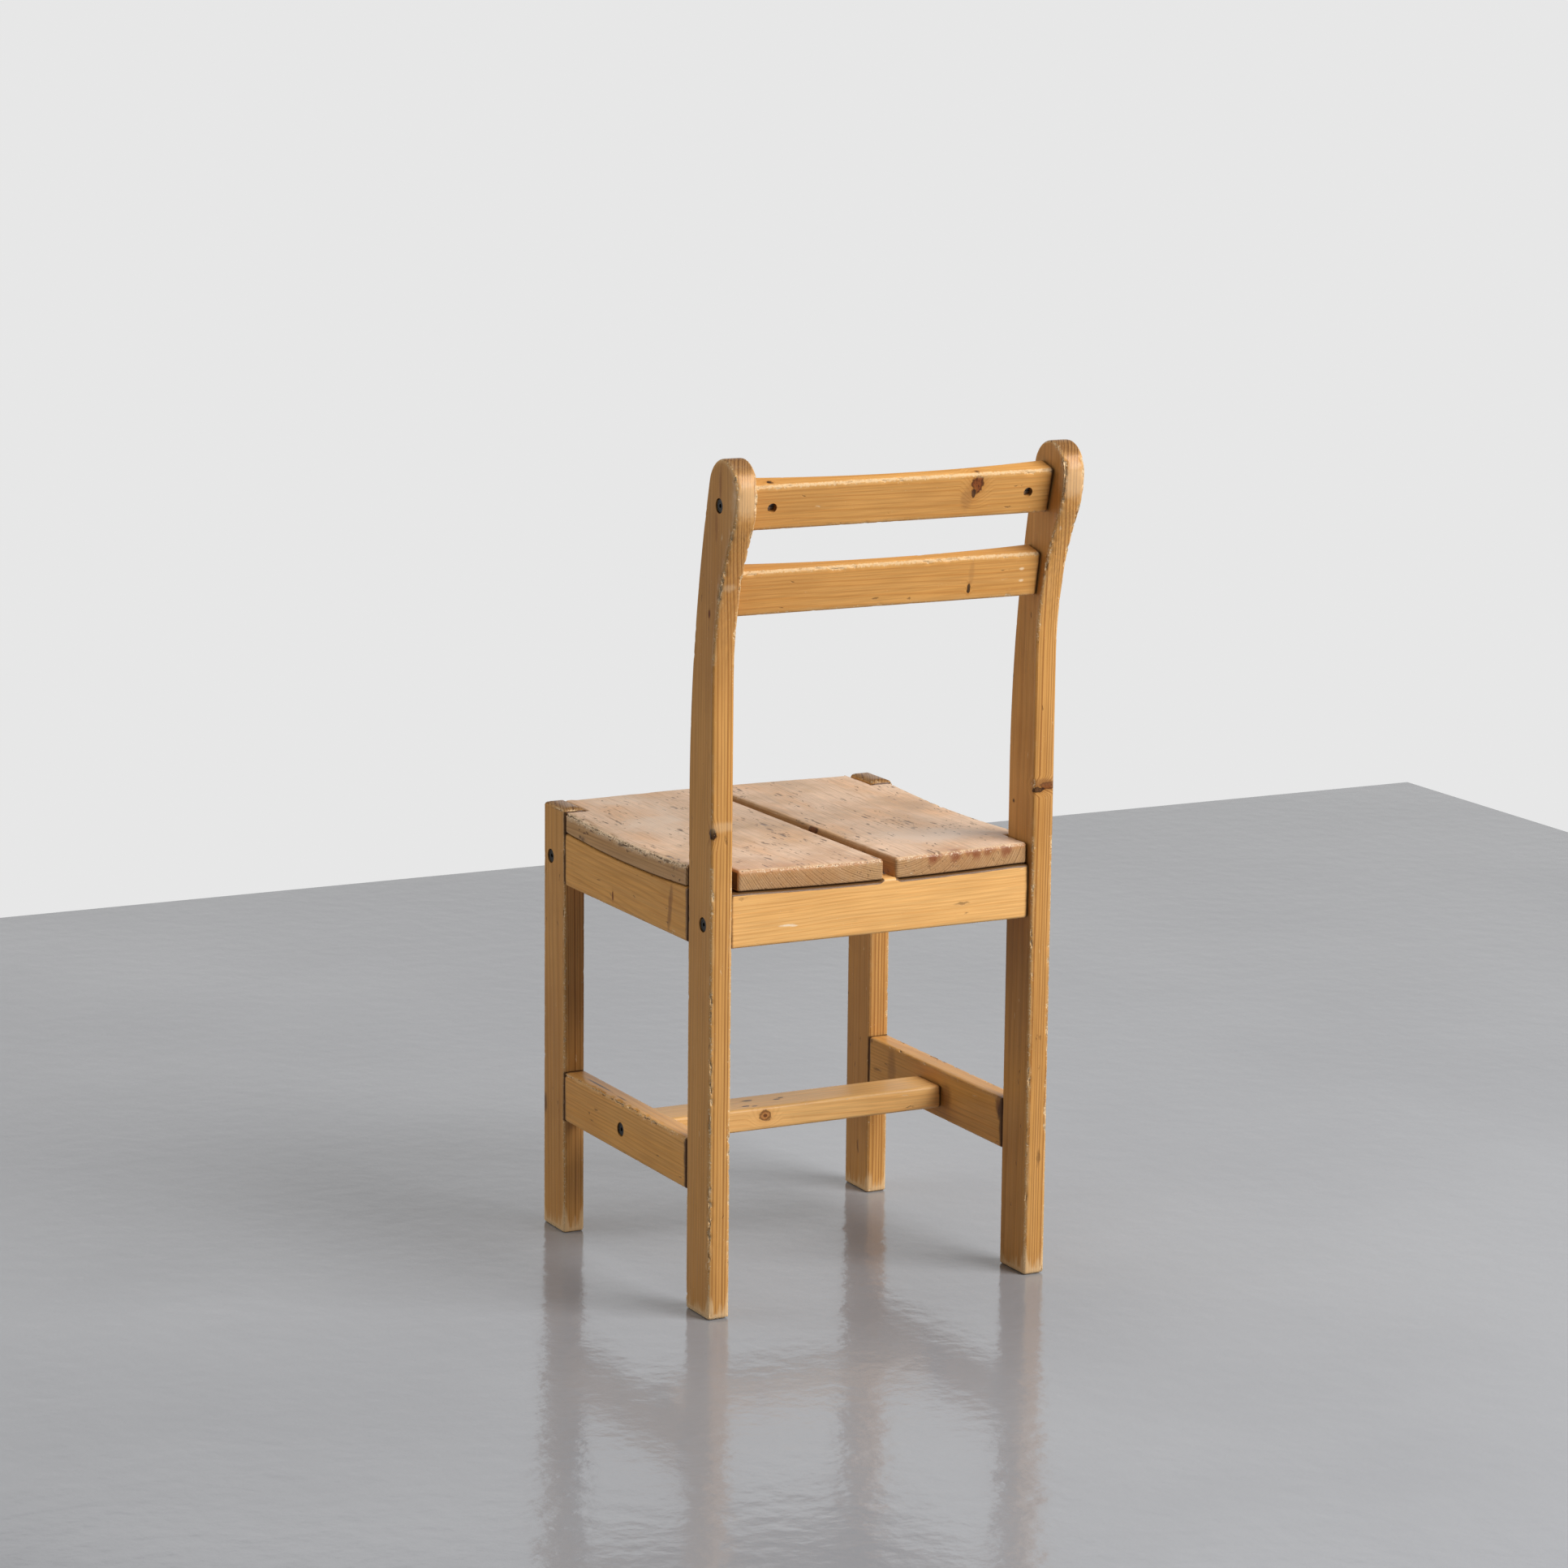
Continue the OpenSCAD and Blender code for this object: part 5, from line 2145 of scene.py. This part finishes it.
# Pale patches of painted light and reflection on the boards' tops.
PAINTED_SEAT_LIGHT = (0.9, 0.7, 0.53)
LEFT_BOARD_MARKS = (
    Mark((0.078, 0.164, 0.4515), 9 * MM, (0.12, 1.0, 3.0), AMBER, 0.0, 0.8),
    Mark((0.020, 0.168, 0.4510), 1.8 * MM, (0.07, 1.0, 1.0), BRICK, 0.0, 0.8),
    Mark((0.095, 0.168, 0.4520), 1.2 * MM, (0.06, 1.0, 1.0), BRICK, 0.0, 0.5),
    Mark((0.080, 0.125, 0.4510), 26 * MM, (0.5, 0.75, 1.0), AMBER, 0.0, 0.36),
    # A patch of painted reflected light on the left board's front.
    Mark((0.125, -0.110, 0.4500), 34 * MM, (1.2, 0.55, 1.0), PAINTED_SEAT_LIGHT, 0.0, 0.6),
)
STAIN_STEP = 7 * MM
RIGHT_BOARD_MARKS = (
    Mark((-0.095, 0.164, 0.4515), 9 * MM, (0.14, 1.0, 3.0), AMBER, 0.0, 0.8),
    Mark((-0.0095, 0.003, 0.4480), 6 * MM, (1.0, 0.7, 0.8), (0.16, 0.05, 0.02), 1.6, 0.85),
    Mark((-0.095, 0.130, 0.4510), 26 * MM, (0.5, 0.75, 1.0), AMBER, 0.0, 0.36),
    # A patch of painted light on the right board, towards its rear.
    Mark((-0.095, 0.085, 0.4500), 30 * MM, (0.8, 0.9, 1.0), PAINTED_SEAT_LIGHT, 0.0, 0.5),
) + tuple(
    Mark(
        place=(-0.046 - STAIN_STEP * number - 2.5 * MM * (number * 5 % 3), 0.1695, 0.4505),
        radius=(1.2 + 0.5 * (number * 7 % 4)) * MM,
        stretch=(0.9, 0.45, 0.45), tone=BRICK, pull=0.0, strength=0.45 + 0.15 * (number * 3 % 4),
    )
    for number in range(15)
)


@dataclass
class Fasteners:
    """Connector bolts and barrel nuts, and the screws and dowels that stay as their CAD nodes.

    Attributes:
        bolt_length: Length of a bolt under its head.
        socket_radius: Radius of the hexagon socket to its corners.
        crest_tilt: Lean of the crest rail, whose nuts lean with it.
        rim_width: Width of the raised rim on the head.
        rim_drop: Depth of the face within that rim.
    """

    bolts: BoltPlaces
    crest_tilt: float
    head_radius: float = 7 * MM
    head_thickness: float = 3.5 * MM
    shank_radius: float = 3 * MM
    bolt_length: float = 52.9 * MM
    socket_radius: float = 2.31 * MM
    socket_depth: float = 2.5 * MM
    nut_radius: float = 4.9 * MM
    nut_length: float = 14 * MM
    slot_size: tuple[float, float] = (1.6 * MM, 1.2 * MM)
    head_edge: float = 0.9 * MM
    rim_width: float = 1.6 * MM
    rim_drop: float = 0.25 * MM

    def build(self) -> None:
        """Model one bolt and one nut, copy them to their places, and dress all the fasteners."""
        bolt = self.bolt()
        self.set_out(bolt, "connector_bolt_set", "connector_bolts", BLACKENED, Slot.BLACKENED, self.bolt_copy)
        nut = self.nut()
        self.set_out(nut, "barrel_nut_set", "barrel_nuts", ZINC, Slot.STEEL, self.nut_copy)
        beech = dowel_material()
        kept = {
            "seat_screws": ZINC.material("zinc_screw"), "frame_dowels": beech, "cross_dowels": beech,
            "slat_dowels": beech,
        }
        for node, material in kept.items():
            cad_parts[node].data.materials.clear()
            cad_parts[node].data.materials.append(material)
            log.info("%s: kept, with a finish of %s", node, material.name)

    def bolt(self) -> Workpiece:
        """Model a bolt that runs in from x = 0 along -X, with its head's underside at x = 0.

        Returns:
            The bolt.
        """
        bolt = Workpiece.bar("bolt", Vector(), Axis.X, self.head_thickness, self.head_radius)
        edge_x = self.head_thickness - bolt.same
        with shaping(bolt.body):
            pick(bolt.body, "edges", lambda edge: all(vertex.co.x > edge_x for vertex in edge.verts))
            bpy.ops.mesh.bevel(offset=self.head_edge, segments=3, affect="EDGES")
            bpy.ops.mesh.select_mode(type="FACE")
            pick(bolt.body, "faces", lambda face: face.normal.x > FLAT)
            bpy.ops.mesh.inset(thickness=self.rim_width)
            bpy.ops.mesh.inset(thickness=self.rim_drop, depth=-self.rim_drop)
            pick(bolt.body, "faces", lambda face: face.normal.x < -FLAT)
            bpy.ops.mesh.inset(thickness=self.head_radius - self.shank_radius)
            bpy.ops.mesh.extrude_region_move(TRANSFORM_OT_translate={"value": (-self.bolt_length, 0.0, 0.0)})
        start = Vector((self.head_thickness + MM, 0.0, 0.0))
        bolt.cut(Workpiece.bar("key", start, Axis.X, -self.socket_depth - MM, self.socket_radius, 6))
        return bolt

    def nut(self) -> Workpiece:
        """Model a barrel nut that stands on Z, cross-bored, with its slot on top.

        Returns:
            The nut.
        """
        start = Vector((0.0, 0.0, -self.nut_length / 2))
        nut = Workpiece.bar("nut", start, Axis.Z, self.nut_length, self.nut_radius)
        nut.round_arrises(0.5 * MM, 2)
        width, depth = self.slot_size
        reach = 2 * self.nut_radius
        low = Vector((-reach, -width / 2, self.nut_length / 2 - depth))
        high = Vector((reach, width / 2, self.nut_length / 2 + depth))
        nut.cut(Workpiece.block("slot", low, high))
        nut.cut(Workpiece.bar("bore", Vector((-reach, 0.0, 0.0)), Axis.X, 2 * reach, self.shank_radius))
        return nut

    def bolt_copy(self, node: str, copy: Workpiece) -> None:
        """Move a copy of the bolt to the left end of a cross piece."""
        outer_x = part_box("front_leg_left")[1].x
        copy.shift(self.bolts.places[node] + Vector((outer_x - self.bolts.head_seat, 0.0, 0.0)))

    def nut_copy(self, node: str, copy: Workpiece) -> None:
        """Turn a copy of the nut and move it to the left end of a cross piece.

        Args:
            node: The cross piece's CAD node.
            copy: The copy.
        """
        quarter = math.pi / 2
        turns = {
            "front_rail": quarter,
            "rear_rail": -quarter,
            "cross_stretcher": 2 * quarter,
            "crest_rail": quarter + self.crest_tilt,
        }
        copy.lean(turns[node], Vector())
        inner_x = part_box(node)[1].x
        copy.shift(self.bolts.places[node] + Vector((inner_x - self.bolts.nut_setback, 0.0, 0.0)))

    def set_out(self, model: Workpiece, name: str, node: str, finish: SteelFinish, slot: Slot,
                move: Callable[[str, Workpiece], None]) -> None:
        """Copy one fastener to all its places, join the copies and dress them.

        Args:
            model: The fastener.
            name: The joined piece's name.
            node: The CAD node that it stands for.
            finish: Its finish.
            slot: Its material slot.
            move: Moves a copy to the left end of a named cross piece.
        """
        copies = []
        for place in self.bolts.places:
            left = model.twin(f"{name}_left")
            move(place, left)
            copies += [left, left.mirrored(f"{name}_right")]
        bpy.data.objects.remove(model.body)
        bpy.ops.object.select_all(action="DESELECT")
        for copy in copies:
            copy.body.select_set(True)
        bpy.context.view_layer.objects.active = copies[0].body
        bpy.ops.object.join()
        whole = Workpiece(copies[0].body, name)
        whole.smooth(30.0)
        whole.mesh.materials.append(finish.material(name))
        whole.hand_in(node, slot)


def dowel_material() -> bpy.types.Material:
    """Bare beech, with short flecks along the dowel.

    Returns:
        The material.
    """
    material, net = new_material("bare_beech")
    rings = GROWTH_RINGS.place(net, Vector=net.place(), Spacing=1.4 * MM, Wander=6 * MM)
    net.surface({
        "Base Color": net.blend(rings["Latewood"], (0.62, 0.42, 0.24), (0.5, 0.31, 0.16)),
        "Roughness": rings["Fibre"] * 0.1 + 0.6,
        "Normal": net.bump(rings["Fibre"], 0.3, 0.2 * MM),
    })
    return material


# ------------------------------------------------------------------------------- the studio


@dataclass
class Studio:
    """A pale floor that ends at a pale backdrop, soft lamps and the camera.

    Attributes:
        wall_y: Where the floor ends behind the chair's front.
        wall_x: Where the floor ends to the chair's right.
        backdrop: Brightness of what stands beyond the floor.
        ambient: Brightness of the light from all round.
        camera_place: The camera's place.
        camera_yaw: Its direction round Z, in radians from +X.
        camera_dip: How far it looks down, in radians.
        camera_roll: How far it is turned about its own line of sight, in radians.
        lens: Its focal length in millimetres.
        seat_height: Height that the lamps look at.
        far: How far the floor reaches each way.
    """

    wall_y: float = -1.84
    wall_x: float = -2.02
    backdrop: float = 0.8
    ambient: float = 0.08
    camera_place: Place = (2.319, 4.4251, 1.4876)
    camera_yaw: float = -2.0497
    camera_dip: float = 0.196
    camera_roll: float = -0.0105
    lens: float = 114.38
    seat_height: float = 0.45
    far: float = 9.0

    def build(self) -> None:
        """Set up the floor, the backdrop, the lamps and the camera."""
        self.floor()
        self.surroundings()
        self.lamp("key", (-2.0, 2.9, 2.9), (2.8, 2.8), 252.0)
        self.lamp("top", (0.3, -0.4, 3.4), (2.4, 2.4), 27.0)
        self.lamp("wall", (-3.2, -4.4, 1.4), (7.0, 2.8), 46.0)
        self.lamp("fill", (2.6, -1.4, 1.0), (2.0, 2.0), 30.0)
        self.camera()

    def floor(self) -> None:
        """Lay the floor, pale grey and softly glossy."""
        bpy.ops.object.select_all(action="DESELECT")
        middle = (self.wall_x + self.far / 2, self.wall_y + self.far / 2, 0.0)
        bpy.ops.mesh.primitive_plane_add(size=self.far, location=middle)
        floor = bpy.context.object
        floor.name = "floor"
        settle(floor)
        material, net = new_material("studio_floor")
        at = net.place()
        cloud = at.noise(1.3, 4.0).step(0.3, 0.7)
        net.surface({
            "Base Color": net.blend(cloud, (0.27, 0.275, 0.29), (0.32, 0.325, 0.34)),
            "Roughness": 0.13,
            "Normal": net.bump(at.noise(34.0, 4.0), 0.6, 1.2 * MM),
        })
        floor.data.materials.append(material)

    def surroundings(self) -> None:
        """Light the scene evenly from all round, in front of a pale backdrop."""
        world = bpy.data.worlds.new("studio")
        world.use_nodes = True
        world.node_tree.nodes.clear()
        net = Net(world.node_tree)
        path = net.outputs(net.add("ShaderNodeLightPath"))
        seen = path["Is Camera Ray"].or_more(path["Is Transmission Ray"])
        light = seen * (self.backdrop - self.ambient) + self.ambient
        inputs = {"Color": (1.0, 1.0, 1.0, 1.0), "Strength": light}
        net.add("ShaderNodeOutputWorld", {"Surface": net.take("ShaderNodeBackground", 0, inputs)})
        bpy.context.scene.world = world

    def lamp(self, name: str, place: Place, size: tuple[float, float], power: float) -> None:
        """Hang a large soft lamp that looks at the middle of the chair.

        Args:
            name: Its name.
            place: Its place.
            size: Its width and height.
            power: Its power in watts.
        """
        bpy.ops.object.light_add(type="AREA", location=place)
        lamp = bpy.context.object
        lamp.name = name
        lamp.data.shape = "RECTANGLE"
        lamp.data.size, lamp.data.size_y = size
        lamp.data.energy = power
        aim = Vector((0.0, 0.0, self.seat_height)) - lamp.location
        lamp.rotation_euler = aim.to_track_quat("-Z", "Y").to_euler()

    def camera(self) -> None:
        """Set up the camera, looking down at the chair from behind its left."""
        ahead = Vector((
            math.cos(self.camera_dip) * math.cos(self.camera_yaw),
            math.cos(self.camera_dip) * math.sin(self.camera_yaw),
            -math.sin(self.camera_dip),
        ))
        right = ahead.cross(Vector((0.0, 0.0, 1.0))).normalized()
        down = ahead.cross(right)
        turned_right = math.cos(self.camera_roll) * right + math.sin(self.camera_roll) * down
        turned_down = math.cos(self.camera_roll) * down - math.sin(self.camera_roll) * right
        turn = Matrix((turned_right, -turned_down, -ahead)).transposed()
        bpy.ops.object.camera_add(location=self.camera_place, rotation=turn.to_euler())
        camera = bpy.context.object
        camera.data.lens = self.lens
        camera.data.sensor_width = 36.0
        camera.data.clip_end = 50.0
        bpy.context.scene.camera = camera
        bpy.context.scene.view_settings.view_transform = "Standard"


def main() -> None:
    """Build the studio and the chair."""
    logging.basicConfig(level=logging.INFO, format="%(message)s")
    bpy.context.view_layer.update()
    Studio().build()
    stock = Stock()
    bolts = BoltPlaces()
    cross = CrossPieces(stock, bolts)
    back = BackRails(stock, cross)
    SideFrame(stock, bolts).build()
    cross.build()
    back.build()
    Seat(stock, cross).build()
    Fasteners(bolts, back.crest_tilt).build()


if __name__ == "__main__":
    main()
